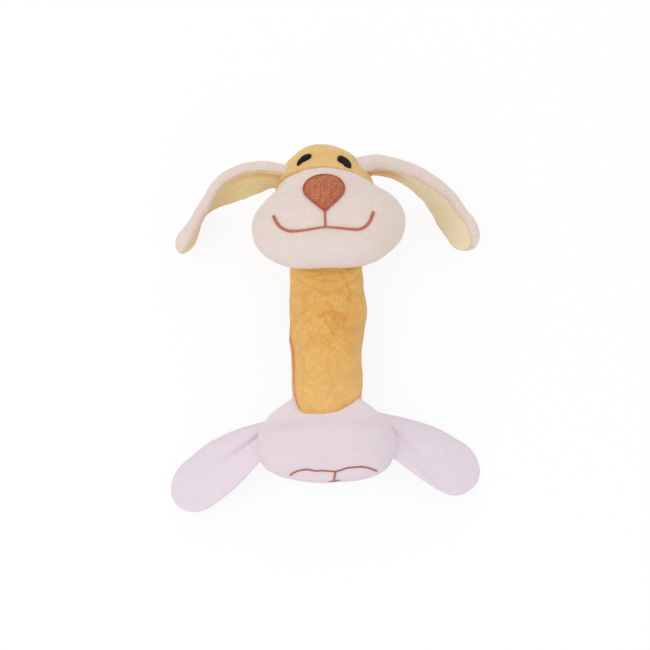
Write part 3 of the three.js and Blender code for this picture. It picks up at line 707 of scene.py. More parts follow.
def tube_relief(y, turn, p):
    relief = lumps(p, TUBE_LUMPS)
    for crease, width, depth, _ in TUBE_CREASES:
        relief -= depth * swag(y, turn, crease, width)
    relief += 0.35 * swag(y, turn, CHIN_FOLD, 3.0)
    for height, shape, start, end, middle, width in TUBE_SWELLINGS:
        relief += height * shape(y, start, end) * bump(turn, middle, width)
    seam = tube_seam(y)
    relief -= SEAM_DEPTH * bump(turn, seam, SEAM_WIDTH) * smooth(y, 16, 0)
    relief += LIP_HEIGHT * bump(turn, seam + LIP_ASIDE, LIP_WIDTH) * smooth(y, 6, -14)
    to_base = y - collar(turn)
    lip = 0.5 * bump(to_base, 6.5, 4.0) * bump(turn, 0.1, 0.8)
    drawn_in = COLLAR_DEPTH * (bump(to_base, 0, COLLAR_WIDTH) + smooth(to_base, 0, -2))
    relief += lip - drawn_in * bump(turn, 0, COLLAR_TURN)
    relief += 0.35 * gathers(turn, y, 8) * bump(to_base, 3, 3)
    return relief - GROOVE_DEPTH * bump(form_distance(HEAD, toy_to_head(p)), 0, GROOVE_WIDTH)


def tube_painted_shade(y, turn):
    """Painted shade on the tube: the deeper colour in its creases, over the shaded places, along its seam and
    where the collar draws it in.
    """
    deep = [0.85 * colour * swag(y, turn, crease, width * 1.15) for crease, width, _, colour in TUBE_CREASES]
    deep += [
        amount * bump(y, place, tall) * bump(turn, middle, wide)
        for amount, place, tall, middle, wide in TUBE_SHADES
    ]
    # Painted shade along the seam on the toy's right
    deep.append(bump(turn, tube_seam(y) - 0.01, LIP_WIDTH) * smooth(y, 16, -6))
    # Painted shade where the collar draws the cloth in
    deep.append(0.5 * bump(y - collar(turn), 0, 1.6) * smooth(np.cos(turn), 0.1, 0.5))
    return np.maximum.reduce(deep)


def tube_fill(places, turns):
    """How the stuffing and the slack of the cloth move the tube's skin, for a grid of places."""
    rows, around, end = 71, 72, BODY_HALF - 2
    y = np.linspace(-end, end, rows)
    spin = np.linspace(-math.pi, math.pi, around, endpoint=False)
    at, turn = np.meshgrid(y, spin, indexing="ij")
    radius = tube_radius(at)
    radius = radius + lumps(round_axis(radius, turn, at), ((0.25, 9, 6), (0.12, 4, 7)))
    start = round_axis(radius, turn, at).reshape(-1, 3)
    held = np.repeat(np.isin(np.arange(rows), (0, 1, rows - 2, rows - 1)).astype(float), around)
    moved = filled_out(start, closed_grid(rows, around), held, pressure=0.7, grown=0.012, cap=1.5)
    moved = calmed(moved.reshape(rows, around, 3), True, 4)
    moved *= 0.6 * smooth(np.abs(y), end, end - 10)[:, None, None]
    wrapped = np.concatenate([moved, moved[:, :1]], axis=1)
    return carried(wrapped, y, np.append(spin, math.pi), places, turns)


def make_tube():
    around, end_rows, straight_rows = 216, 26, 161
    ends, straight = np.linspace(0, QUARTER, end_rows), np.linspace(-1, 1, straight_rows)
    end_y, end_radius = BODY_HALF + BODY_END_RADIUS * np.sin(ends), BODY_END_RADIUS * np.cos(ends)
    side_radius = BODY_RADIUS + (BODY_END_RADIUS - BODY_RADIUS) * straight ** 2
    profile = np.concatenate([-end_y[:0:-1], straight * BODY_HALF, end_y[1:]])
    radius = np.concatenate([end_radius[:0:-1], side_radius, end_radius[1:]])
    spin = np.linspace(-math.pi, math.pi, around, endpoint=False)
    y, turn = np.meshgrid(profile, spin, indexing="ij")
    radius = np.repeat(radius[:, None], around, axis=1)
    p = round_axis(radius, turn, y, AXIS).reshape(-1, 3)
    outside = smooth(np.abs(y), BODY_HALF + 6, BODY_HALF - 10)
    relief = tube_relief(y.ravel(), turn.ravel(), p).reshape(y.shape) * outside
    p = round_axis(np.maximum(radius + relief, 0.02), turn, y, AXIS) + tube_fill(profile, spin)
    crease = tube_painted_shade(y, turn) * outside
    middle = len(profile) // 2
    for name, rows, nodes, other, start, end in (
        ("tube_lower_cloth", slice(0, middle + 1), ("body_sleeve", "body_stuffing_lower"), "foot",
         (0, -30, 20), (0, -52, 20)),
        ("tube_upper_cloth", slice(middle, None), ("body_stuffing_upper",), "head",
         (0, 23, 20), (0, 45, 29)),
    ):
        faces = grid_faces(len(p[rows]), around, True)
        obj = mesh_object(name, settle(p[rows].reshape(-1, 3)), faces, orange, crease[rows].ravel())
        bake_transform(obj)
        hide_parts(*nodes)


# ---------------------------------------------------------------- head and foot piece

# The seam between face and crown: over the brow, down the sides, and the bend between the two
BROW, SIDE, BEND, BROW_TILT = 25.0, 6.0, 14.0, 0.11
# Swellings of the head: height, place and width
HEAD_SWELLINGS = (
    (2.5, (38, 1, 36), 19), (1.3, (-9, 50, 20), 15), (-0.7, (24, 43, 18), 12), (-1.2, (33, -22, 34), 14),
)
STUFFING_PRESSURE = 2.0
# How firmly a seam holds the cloth, and over what width to each side
SEAM_HOLD, SEAM_REACH = 0.9, 1.6


def face_side(p):
    """Above 0 in front of the seam between face and crown."""
    y, z = p[..., 1] + BROW_TILT * p[..., 0], p[..., 2]
    corner = BEND - np.hypot(np.maximum(y - (BROW - BEND), 0), np.maximum(SIDE + BEND - z, 0))
    return np.where((y > BROW - BEND) & (z < SIDE + BEND), corner, np.minimum(z - SIDE, BROW - y))


def side_seam(p):
    return p[..., 2] - HEEL_FORWARD


def along_seam(p, field, seed, spacing=3.0):
    """Puckers that cross a seam: noise that changes along it and not across it."""
    return noise(p - slope(field, p, 0.1) * field(p)[:, None], spacing, seed)


def head_relief(p):
    relief = lumps(p, HEAD_LUMPS) + rise_at(HEAD, p)
    for height, place, width in HEAD_SWELLINGS:
        relief += height * bump(np.linalg.norm(p - np.array(place), axis=-1), 0, width)
    seam = face_side(p)
    relief += 0.35 * bump(seam, 3.2, 2.2) + 0.25 * bump(seam, -3.0, 2.0) - 0.6 * bump(seam, 0, 1.3)
    relief += 0.28 * along_seam(p, face_side, 13) * bump(np.abs(seam), 2.2, 2.2)
    toy = head_to_toy(p)
    return relief - GROOVE_DEPTH * bump(out_of_tube(toy), 0, GROOVE_WIDTH) * (toy[:, 1] < BODY_HALF)


def foot_relief(p):
    relief = lumps(p, FOOT_LUMPS) + rise_at(FOOT, p)
    relief += 1.3 * smooth(np.abs(p[..., 0]), 20, 36) - 1.6 * smooth(-p[..., 1], 20, 31)
    seam = side_seam(p)
    relief -= 0.6 * bump(seam, 0, 1.2)
    return relief + 0.25 * along_seam(p, side_seam, 63) * bump(np.abs(seam), 2.0, 2.0)


def necked(p):
    """Draws the foot piece's skin down to the tube along the collar."""
    y, turn = p[:, 1] - BODY_HALF, np.arctan2(p[:, 0], p[:, 2])
    away = np.hypot(p[:, 0], p[:, 2])
    clear = away - tube_radius(y)
    wanted = 0.85 * (collar(turn) - y) - 1.0
    share = np.maximum(3.0 - np.abs(clear - wanted), 0) / 3.0
    lower = np.maximum(np.minimum(clear, wanted) - share ** 2 * 0.75, np.minimum(clear, -4.0))
    puckers = 0.3 * gathers(turn, y, 64) * bump(wanted, 3, 3)
    moved = (lower + puckers - clear) * smooth(p[:, 1], -14, 0)
    scale = (tube_radius(y) + clear + moved) / np.maximum(away, 1e-6)
    return xyz(p[:, 0] * scale, p[:, 1], p[:, 2] * scale)


def sewn_head(p):
    """Where the head's cloth can't move: along its seam, and where the tube goes in."""
    toy = head_to_toy(p)
    inside = (out_of_tube(toy) < 1.0) & (toy[:, 1] < BODY_HALF)
    return np.maximum(SEAM_HOLD * bump(face_side(p), 0, SEAM_REACH), inside)


def sewn_foot(p):
    inside = (np.hypot(p[:, 0], p[:, 2]) < BODY_RADIUS + 1.0) & (p[:, 1] > 0)
    return np.maximum(SEAM_HOLD * bump(side_seam(p), 0, SEAM_REACH), inside)


def make_stuffed(body, form, seam, sewn, dressed, colour, width, panels):
    """Sews a stuffed form from two panels that meet at a seam, each with its rim turned in, and paints shade
    along the seam and on the turned-in rows.
    """
    swell(form, sewn, STUFFING_PRESSURE)
    directions, faces = ball(7)
    points, value = cut_ready(form, skin_points(form, form["heart"], directions), faces, seam)
    normals = skin_normals(form, points)
    # Painted shade: up to colour along the seam, fading over width to each side
    skin, crease = dressed(points, normals), colour * bump(value, 0, width)
    for name, sign, material, nodes, slot in panels:
        p, f, n, c = used_only(skin, side_of(faces, value, sign), normals, crease)
        p, f = tucked(p, f, -n)
        # The turned-in rows get full painted shade
        c = np.concatenate([c, np.ones(len(p) - len(c))])
        obj = mesh_object(name, settle(TO_TOY[body](p)), f, material, c)
        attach(obj, body)
        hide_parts(*nodes)


def make_head():
    make_stuffed(
        "head", HEAD, face_side, sewn_head, lambda p, n: p + n * head_relief(p)[:, None],
        colour=0.8, width=1.4, panels=(
            ("head_face_cloth", 1, pink, ("head_face",), "pink_plush"),
            ("head_crown_cloth", -1, crown_orange, ("head_crown", "head_stuffing"), "crown_plush"),
        ))


def make_foot():
    make_stuffed(
        "foot", FOOT, side_seam, sewn_foot, lambda p, n: necked(p + n * foot_relief(p)[:, None]),
        colour=0.35, width=1.2, panels=(
            ("base_front_cloth", 1, lilac, ("base_front", "base_stuffing"), "lilac_plush"),
            ("base_back_cloth", -1, lilac, ("base_back",), "lilac_plush"),
        ))


TO_TOY = {"head": head_to_toy, "foot": foot_to_toy}


# ---------------------------------------------------------------- stitching

def head_surface(x, y, above):
    """Points above the front of the head over places in the plane of the face, and the normals."""
    skin = skin_points(HEAD, xyz(x, y, 20.0), np.array([0.0, 0.0, 1.0]))
    normal = skin_normals(HEAD, skin)
    return skin + normal * (head_relief(skin) + above)[:, None], normal


def foot_surface(x, pitch, above):
    """The same on the end of the foot piece, for places aside and pitches up from level in degrees."""
    pitch = np.radians(pitch)
    skin = skin_points(FOOT, xyz(x, -HEEL_DROP, HEEL_FORWARD), xyz(0.0, -np.cos(pitch), np.sin(pitch)))
    normal = skin_normals(FOOT, skin)
    return skin + normal * (foot_relief(skin) + above)[:, None], normal


def satin_line(path, normals, half_width, height, pitch=0.45, round_ends=True, slices=14):
    """A line of satin stitches: a low rounded rope with a ridge for each stitch across it."""
    places = lengths_along(path)
    total = places[-1]
    count = int(total / pitch) * 4 + 1
    at = np.linspace(0, total, count)
    p, n = sampled(path, places, at), unit(sampled(normals, places, at))
    side = unit(np.cross(n, unit(np.gradient(p, axis=0))))
    width = half_width(at / total) if callable(half_width) else np.full(count, half_width)
    stitch = np.floor(at / pitch).astype(np.int64)
    width = width * (1 + 0.07 * hashed(xyz(stitch, stitch, stitch), 7))
    ends = np.sqrt(np.clip(np.minimum(at, total - at) / np.maximum(width * 0.9, 1e-6), 0.02, 1))
    if round_ends:
        width = width * ends
    tall = height * ends + 0.10 * np.abs(np.sin(np.pi * at / pitch))
    turn = np.linspace(0, 2 * math.pi, slices, endpoint=False)
    c, s = np.cos(turn), np.sin(turn)
    across, rise = np.outer(width, c), np.outer(tall, np.where(s > 0, np.abs(s) ** 0.8, s))
    rope = p[:, None, :] + side[:, None, :] * across[..., None] + n[:, None, :] * rise[..., None]
    return rope.reshape(-1, 3), closed_grid(count, slices)


def smooth_curve(corners, count, closed=False):
    """A smooth curve through the corners, as equally spaced points."""
    c = np.asarray(corners, float)
    before, after = (c[-1:], c[:2]) if closed else (2 * c[:1] - c[1:2], 2 * c[-1:] - c[-2:-1])
    c = np.concatenate([before, c, after])
    t = np.linspace(0, 1, 24, endpoint=False)[:, None]
    pieces = [
        0.5 * (2 * b + (d - a) * t + (2 * a - 5 * b + 4 * d - e) * t ** 2 + (3 * b - a - 3 * d + e) * t ** 3)
        for a, b, d, e in zip(c, c[1:], c[2:], c[3:])
    ]
    curve = np.concatenate(pieces + [c[-2:-1]])
    places = lengths_along(curve)
    return sampled(curve, places, np.linspace(0, places[-1], count, endpoint=not closed))


def stitched_patch(outline, rings, dome, seed, base=0.5):
    """A filled patch of stitching on the face that swells a little towards its middle."""
    middle, count = outline.mean(axis=0), len(outline)
    shares = np.arange(1, rings + 1) / rings
    flat = np.concatenate([middle[None, :]] + [middle + (outline - middle) * share for share in shares])
    depth = np.append(1.0, np.repeat(1 - shares ** 2.2, count))
    grain = 0.09 * noise(xyz(flat[:, 0] * 0.45, flat[:, 1] * 1.6, 0.0), 0.7, seed)
    up, normal = head_surface(flat[:, 0] + FACE_ASIDE, flat[:, 1], 0.0)
    top = up + normal * (base + dome * np.clip(depth, 0, 1) ** 0.5 + grain)[:, None]
    low = up[-count:] - normal[-count:] * base
    fan = [[0, 1 + i, 1 + (i + 1) % count] for i in range(count)]
    return np.concatenate([top, low]), fan + (grid_faces(rings + 1, count, True) + 1).tolist()


def put_on(body, name, shape, material, slot, *nodes):
    obj = mesh_object(name, TO_TOY[body](shape[0]), shape[1], material)
    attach(obj, body)
    if nodes:
        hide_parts(*nodes)


NOSE_TOP, NOSE_TIP, NOSE_HALF = 16.2, -7.4, 11.4
# Shares of the nose's outline at which its filling ends and its border lies
NOSE_FILLED, NOSE_BORDER = 0.95, 0.955
# Down one side of the nose: shares of its half width and of its height
NOSE_SIDE = [
    (0.0, 0.0), (0.40, 0.03), (0.72, 0.11), (0.93, 0.25), (1.0, 0.41), (0.89, 0.58), (0.63, 0.74),
    (0.32, 0.88), (0.09, 0.975), (0.0, 1.0),
]
MOUTH = [
    (-29.3, -6.4), (-27.4, -10.9), (-24.6, -14.2), (-20.5, -16.2), (-15, -16.5), (-8, -15.9), (-1.3, -15.3),
    (6, -15.9), (12, -16.5), (17, -16.5), (20.6, -14.8), (23.1, -11.6), (24.9, -7.0),
]
LIP_LOW, LIP_TOP = -15.2, -6.8
EYES = {
    "right": ((-11.3, 35.6), [
        (-4.0, -3.1), (-3.3, -0.5), (-1.7, 1.9), (0.5, 3.2), (2.7, 3.5), (4.0, 2.8), (4.0, 0.7), (2.3, -0.9),
        (0.3, -1.7), (-1.5, -2.6), (-3.0, -3.8),
    ]),
    "left": ((11.0, 32.7), [
        (-3.7, 2.6), (-3.0, 4.5), (-0.9, 4.8), (1.4, 3.4), (3.1, 1.4), (3.9, -1.4), (3.5, -4.2), (2.0, -5.2),
        (0.2, -4.5), (-0.8, -2.6), (-1.9, -1.3), (-3.1, -0.5), (-3.8, 0.9),
    ]),
}
# The line over the toes, with the stroke and the bar under it: places aside and pitches in degrees
TOES = [
    (-20.4, 12.5), (-18.8, 21.0), (-15.0, 30.6), (-10.2, 33.8), (-6.1, 31.2), (-2.2, 31.8), (4.5, 30.0),
    (7.8, 32.8), (11.2, 36.6), (17.9, 37.4), (23.4, 30.0), (27.4, 15.5),
]
TOE_STROKE = [(4.5, 30.0), (4.3, 18.0), (3.9, 4.0)]
TOE_BAR = [(1.2, 3.6), (4.2, 3.0), (7.2, 3.6)]


def make_nose():
    right = [(x * NOSE_HALF, NOSE_TOP + (NOSE_TIP - NOSE_TOP) * down) for x, down in NOSE_SIDE]
    outline = smooth_curve(right + [(-x, y) for x, y in right[-2:0:-1]], 110, closed=True)
    middle = outline.mean(axis=0)
    patch = stitched_patch(middle + (outline - middle) * NOSE_FILLED, rings=26, dome=1.5, seed=21)
    put_on("head", "nose_stitches", patch, nose_brown, "brown_thread", "nose")
    rim = middle + (outline - middle) * NOSE_BORDER
    rim = np.concatenate([rim, rim[:1]])
    path = head_surface(rim[:, 0] + FACE_ASIDE, rim[:, 1], 0.55)
    rope = satin_line(*path, half_width=0.62, height=0.8, round_ends=False)
    put_on("head", "nose_border", rope, border_brown, "red_brown_thread")


def make_mouth():
    def widening(t):
        """Half the smile's width, which grows towards its ends."""
        return 0.5 + 0.45 * np.abs(2 * t - 1) ** 0.9

    line = smooth_curve(MOUTH, 220)
    rope = satin_line(*head_surface(line[:, 0], line[:, 1], 0.3), widening, height=0.6)
    put_on("head", "mouth_stitches", rope, mouth_brown, "red_brown_thread", "mouth_stitching")
    lip = head_surface(FACE_ASIDE, np.linspace(LIP_LOW, LIP_TOP, 30), 0.3)
    rope = satin_line(*lip, half_width=0.6, height=0.55)
    put_on("head", "lip_stitches", rope, mouth_brown, "red_brown_thread")


def make_eyes():
    for name, (place, corners) in EYES.items():
        corners = np.array(corners) + np.array(place) - np.array([FACE_ASIDE, 0])
        patch = stitched_patch(smooth_curve(corners, 80, closed=True), rings=14, dome=0.7, seed=31)
        put_on("head", f"eye_{name}_stitches", patch, black, "black_thread", f"eye_{name}")


def make_toes():
    for name, corners, count, half_width, nodes in (
        ("toe_stitches", TOES, 200, 0.5, ("paw_stitching",)),
        ("toe_stroke_stitches", TOE_STROKE, 50, 0.62, ()),
        ("toe_bar_stitches", TOE_BAR, 30, 0.4, ()),
    ):
        line = smooth_curve(corners, count)
        path = foot_surface(line[:, 0], line[:, 1], 0.15)
        rope = satin_line(*path, half_width, height=0.45, pitch=0.8)
        put_on("foot", name, rope, toe_brown, "brown_thread", *nodes)


# ---------------------------------------------------------------- leaves

def seat_shift(form, place, edge_points, along, back):
    """How far points of a leaf's root have to move along it to lie on the form."""
    start = edge_points + place - along * back
    return np.linalg.norm(skin_points(form, start, along) - start, axis=1) - back


def tip_closing(share, tip_share):
    """1 along a leaf and down to 0 at its end, rounded over the share that is its tip."""
    rounded = np.maximum(share - (1 - tip_share), 0) / tip_share
    return np.sqrt(np.maximum(1 - rounded ** 2, 0))


# The share of a leaf's length over which its root is fitted to the form
FITTED = 0.4


def leaf_blend(obj):
    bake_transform(obj)


# headings: where an ear points, in degrees from straight aside towards the crown, at equal steps along
# it; leans: how far its section leans from upright, in degrees; widths: half its width; rims: half its
# thickness at the upper edge; margins: how much of the outer cloth shows there; fold: how far along
# the lining its fold reaches, where it starts across, and how far it drifts; lined: the share of the
# ear that has the lining; warm, root_warm: painted shade over the lining's hollow and at its root
EARS = {
    "left": dict(
        side=1, aside=23, rise=37.5, forward=14.5, length=83.7, tip=0.16,
        headings=(21.3, 4, -8, -18.2, -26.3, -39, -54.7, -62.5, -59.4, -45.4, -64.3),
        leans=(-5, -9.2, 5.5, 15, 21.6, 18.9), widths=(11.7, 12.1, 14.8, 13.2),
        rims=(5.7, 4.2, 3.8, 3.2, 3.5), margins=(3.1, 3.9, 3.8, 3.1, 3.9),
        fold=(0.42, -0.2, 0.1), fold_depth=1.2, lined=0.972, warm=0.05, root_warm=0.6, lining=cream,
    ),
    "right": dict(
        side=-1, aside=26, rise=34.2, forward=15, length=78.7, tip=0.18,
        headings=(11.4, 7.7, -0.5, -9, -14.7, -30.9, -54.1, -69.2, -66.8, -46.8, -45.7),
        leans=(8.7, 21.3, 14.6, -14.1, -2.7, 2.9), widths=(10.6, 13.6, 13.2, 12.7),
        rims=(3.1, 3.5, 3.3, 3.6, 4.8), margins=(2.7, 3.5, 4.8, 5.0, 5.6),
        fold=(0.5, 0.3, 0.35), fold_depth=1.8, lined=0.985, warm=0.1, root_warm=0.0, lining=shaded_cream,
    ),
}
# The outer cloth's margin below, half the thickness of the lower edge, and how softly the table
# presses an ear
LOWER_MARGIN, EAR_EDGE, EAR_SOFT = 0.8, 1.2, 0.8
# The share of an ear's length over which its lining rounds off, and its section closes
EAR_CLOSING = 0.07
# The most of the half width that the lining may take, and how far it reaches over the turned edges at
# its end (a share of the length), above and below
LINING_MOST, OVER_END, OVER_TOP, OVER_LOW = 0.985, 0.010, 0.8, 0.3
LINING_THICK = 0.8


def ear_frame(ear, share):
    """Directions along the ear, across it and out of it, at shares of its length."""
    heading = np.radians(eased(share, ear["headings"]))
    lean = np.radians(eased(share, ear["leans"]))
    tilt = np.radians(25 * (1 - smooth(share, 0, 0.35)))
    side, up = ear["side"], np.array([0, 0, 1.0])
    along = xyz(side * np.cos(heading), np.sin(heading), 0.0)
    level = xyz(-side * np.sin(heading), np.cos(heading), 0.0)
    cos, sin = np.cos(lean)[:, None], np.sin(lean)[:, None]
    return along, up * cos + level * sin - along * np.tan(tilt)[:, None], level * cos - up * sin


def ear_middle(ear, shares, steps=240):
    along, _, _ = ear_frame(ear, (np.arange(steps) + 0.5) / steps)
    run = np.concatenate([np.zeros((1, 3)), np.cumsum(along, axis=0) * ear["length"] / steps])
    p = sampled(run, np.linspace(0, 1, steps + 1), shares)
    p[:, 2] = (EAR_HALF + EAR_GAP - AXIS - ear["forward"]) * smooth(shares, 0, 0.7)
    return p


def ear_root(ear):
    return np.array([ear["side"] * ear["aside"], ear["rise"], ear["forward"]], float)


def ear_points(ear, share, across, depth):
    """Points of the ear in the head's own frame, for equal-length arrays."""
    _, cross, outward = ear_frame(ear, share)
    across = (-ear["side"] * across)[:, None]
    p = ear_middle(ear, share) + cross * across + outward * depth[:, None]
    along0, cross0, outward0 = (v[0] for v in ear_frame(ear, np.zeros(1)))
    edge = cross0 * across + outward0 * depth[:, None]
    shift = seat_shift(HEAD, ear_root(ear), edge, along0, back=11.0) * (1 - smooth(share, 0, FITTED))
    return p + along0 * shift[:, None] + ear_root(ear)


def make_ear(name, ear):
    """An ear is a leaf on its edge: the outer cloth wraps round its rim, and the lining fills the rest.
    Its section is told by up, which is above 0 towards the upper edge."""
    rows = 160
    share = rows_to_tip(rows, 0.75, 0.82)
    half = eased(share, ear["widths"]) * np.maximum(tip_closing(share, ear["tip"]), 0.02)
    half = half * (1 + 0.035 * noise(xyz(share * ear["length"], 0.0, 0.0), 5.5, 46 + ear["side"]))
    closing = np.maximum(tip_closing(share, EAR_CLOSING), 0.03)

    def section(at, up, wide):
        """How full the ear is, and the share of it at each place: round at both edges."""
        rim, part = eased(at, ear["rims"]), up / np.maximum(wide, 1e-3)
        full = np.interp(at, share, closing) * (EAR_EDGE + (rim - EAR_EDGE) * smooth(part, -0.9, 0.7))
        rim = np.clip(rim / np.maximum(wide, 1e-3), 0.02, 0.9)
        above = np.clip((part - 1 + rim) / rim, 0, 1)
        below = np.clip((-part - 0.88) / 0.12, 0, 1)
        return full, np.sqrt(np.maximum(1 - above ** 2, 0)) * np.sqrt(np.maximum(1 - below ** 2, 0))

    def placed(at, up, depth, seed):
        p = ear_points(ear, at, -ear["side"] * up, depth)
        wrinkle = lumps(p, EAR_LUMPS + ((0.15, 4, seed),))
        wrinkle = wrinkle + 0.2 * noise(xyz(up, at * 12, 0 * up), 3.2, 45) * smooth(at, 0.3, 0.04)
        return p + ear_frame(ear, at)[2] * (wrinkle * smooth(at, 0.0, 0.08))[:, None]

    late = np.clip((share - ear["lined"] + EAR_CLOSING) / EAR_CLOSING, 0, 1)
    lining_end = np.sqrt(1 - late ** 2)
    top = np.clip(half - eased(share, ear["margins"]), 0, None) * lining_end
    bottom = np.clip(half - LOWER_MARGIN, 0, None) * lining_end
    bare = top <= 0
    stops_up = np.arccos(np.minimum(top / half, LINING_MOST))
    stops_low = np.where(bare, QUARTER, np.arccos(np.minimum(bottom / half, LINING_MOST)))
    arch = np.linspace(0, math.pi, 56)
    angle = np.array([
        np.concatenate([np.linspace(-up, 0, 10)[:-1], arch, np.linspace(math.pi, math.pi + low, 8)[1:]])
        for up, low in zip(stops_up, stops_low)
    ])
    count = angle.shape[1]
    at, up = np.repeat(share, count), (half[:, None] * np.cos(angle)).ravel()
    full, rounded = section(at, up, np.repeat(half, count))
    p = placed(at, up, np.sign(np.sin(angle)).ravel() * rounded * full, 42)
    turned_up = np.stack([np.maximum(top, 0.3) * 0.93, -np.maximum(bottom, 0.3) * 0.95], axis=-1).ravel()
    turned = placed(np.repeat(share, 2), turned_up, np.repeat(-0.3 * closing, 2), 42)
    start = len(p)
    p = np.concatenate([p, turned])
    faces = grid_faces(rows, count, False).tolist()
    for i in range(rows - 1):
        a, b, c = i * count, (i + 1) * count, start + 2 * i
        faces += [[a, c, c + 2, b], [a + count - 1, b + count - 1, c + 3, c + 1], [c, c + 1, c + 3, c + 2]]
    faces.append(list(range((rows - 1) * count, rows * count)))

    # Past the lining's end the two edges of the outer cloth meet and are one
    same = np.arange(len(p))
    for i in np.flatnonzero(bare):
        same[[(i + 1) * count - 1, start + 2 * i, start + 2 * i + 1]] = i * count
    faces = [list(dict.fromkeys(same[f].tolist())) for f in faces]
    faces = [f for f in faces if len(f) > 2]
    used = np.unique(np.concatenate(faces))
    renumber = np.zeros(len(p), int)
    renumber[used] = np.arange(len(used))
    # The turned-in rows get full painted shade
    seam = np.concatenate([np.zeros(start), np.ones(len(turned))])[used]
    p = settle(head_to_toy(p), EAR_SOFT)[used]
    outer = mesh_object(f"ear_{name}_cloth", p, [renumber[f] for f in faces], ear_pink, seam)

    row = rows_to_tip(130, 0.8, 0.9) * (ear["lined"] + OVER_END)
    across = np.linspace(-1, 1, 48)
    high, low = np.interp(row, share, top) + OVER_TOP, np.interp(row, share, bottom) + OVER_LOW
    up = ((high - low) / 2)[:, None] + np.outer((high + low) / 2, across)
    at, wide = np.repeat(row, len(across)), np.repeat(np.interp(row, share, half), len(across))
    full = section(at, up.ravel(), wide)[0].reshape(up.shape)
    reaching, place, drift = ear["fold"]
    row = row[:, None]
    fold = bump(across, place + drift * row / reaching, 0.2 + 0.25 * row) * smooth(row, reaching, 0.02)
    hollow = full * 0.62 + 0.45 * (1 - np.abs(across) ** 3) ** 0.6
    depth = ear["fold_depth"] * fold - hollow + 0.7 * smooth(row, ear["lined"] - 0.012, ear["lined"] + 0.004)
    p = settle(head_to_toy(placed(at, up.ravel(), depth.ravel(), 44)), EAR_SOFT)
    # Painted shade on the lining: in its fold, over its hollow, at its root and along its edges
    warm = 0.9 * fold + ear["warm"] * smooth(row, 0.75, 0.1) * smooth(across, 1.0, -0.2)
    warm = warm + ear["root_warm"] * smooth(row, 0.34, 0.1) * smooth(across, 0.9, 0.3)
    warm = np.maximum(warm, 0.35 * bump(np.abs(across), 1.0, 0.06)).ravel()
    lining = mesh_object(f"ear_{name}_lining_cloth", p, grid_faces(*up.shape, False), ear["lining"], warm)
    thicken = lining.modifiers.new("cloth", "SOLIDIFY")
    thicken.thickness = LINING_THICK * MM
    thicken.offset = 0

    root, along = head_to_toy(ear_root(ear)), leaned(ear_frame(ear, np.zeros(1))[0][0], HEAD_LEAN)
    for obj, slot, node in ((outer, "pink_plush", "outer"), (lining, "cream_plush", "lining")):
        leaf_blend(obj)
        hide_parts(f"ear_{name}_{node}")


# sweep: how far a flap points away from the head, in degrees from straight aside; slant: how far all
# of it is then turned back; root_half: half its width at the root; more_up, more_down: how much wider
# its two edges swell; crease: places along it, and across it; crease_colour: how much painted shade
# the crease has, which also sets how firmly the cloth is held along it
LEGS = {
    "left": dict(
        side=1, aside=34.5, drop=6, slant=18, sweep=36, length=56, root_half=13.5, more_up=2.6,
        more_down=2.6, crease=([0, 0.18, 0.35, 0.5], [0.35, 0.1, -0.2, -0.45]), crease_width=0.16,
        crease_end=0.6, crease_depth=1.5, crease_colour=0.25,
    ),
    "right": dict(
        side=-1, aside=35, drop=8.5, slant=16, sweep=43, length=60, root_half=12.6, more_up=3.2,
        more_down=1.6, crease=([0, 0.2, 0.35, 0.55], [0.5, 0.28, 0.22, 0.0]), crease_width=0.045,
        crease_end=0.8, crease_depth=2.4, crease_colour=1.0,
    ),
}
# Half a flap's width, half its thickness at the root, the height at which it rests, and how deep its
# root is sewn in
LEG_HALF, LEG_ROOT_FULL, LEG_REST, LEG_SUNK = 15, 1.9, 4.6, 2.6
FILLED, FILLED_BEFORE_CLOTH = 5.1, 4.5
# The shares of a flap's length over which its outline rounds off, and it thins out
LEG_TIP, LEG_THINNING = 0.27, 0.3


def leg_turn(leg):
    """Turns a flat leaf to where the flap lies: drooping until its end rests, and slanting."""
    reach = leg["length"] * math.cos(math.radians(leg["sweep"]))
    droop = math.asin((HEEL_FORWARD + AXIS - LEG_REST) / reach)
    b, c = leg["side"] * droop, leg["side"] * math.radians(leg["slant"])
    ry = np.array([[math.cos(b), 0, math.sin(b)], [0, 1, 0], [-math.sin(b), 0, math.cos(b)]])
    rz = np.array([[math.cos(c), -math.sin(c), 0], [math.sin(c), math.cos(c), 0], [0, 0, 1]])
    return rz @ ry


def leg_root(leg):
    return np.array([leg["side"] * leg["aside"], -leg["drop"], HEEL_FORWARD], float)


def leg_points(leg, share, x, z):
    """Points of a leg flap in the foot piece's own frame."""
    heading, side, turn = -math.radians(leg["sweep"]), leg["side"], leg_turn(leg)
    swung = heading * smooth(share, 0, 0.45)
    out, down = leg["length"] * share * math.cos(heading), leg["length"] * share * math.sin(heading)
    p = xyz(side * (out - side * x * np.sin(swung)), down + side * x * np.cos(swung), z) @ turn.T
    along = turn @ np.array([side * math.cos(heading), math.sin(heading), 0])
    edge = xyz(0 * x, side * x, z) @ turn.T
    shift = seat_shift(FOOT, leg_root(leg), edge, along, back=13.5) - LEG_SUNK
    shift = shift * (1 - smooth(share, 0, FITTED))
    return p + along * shift[:, None] + leg_root(leg)


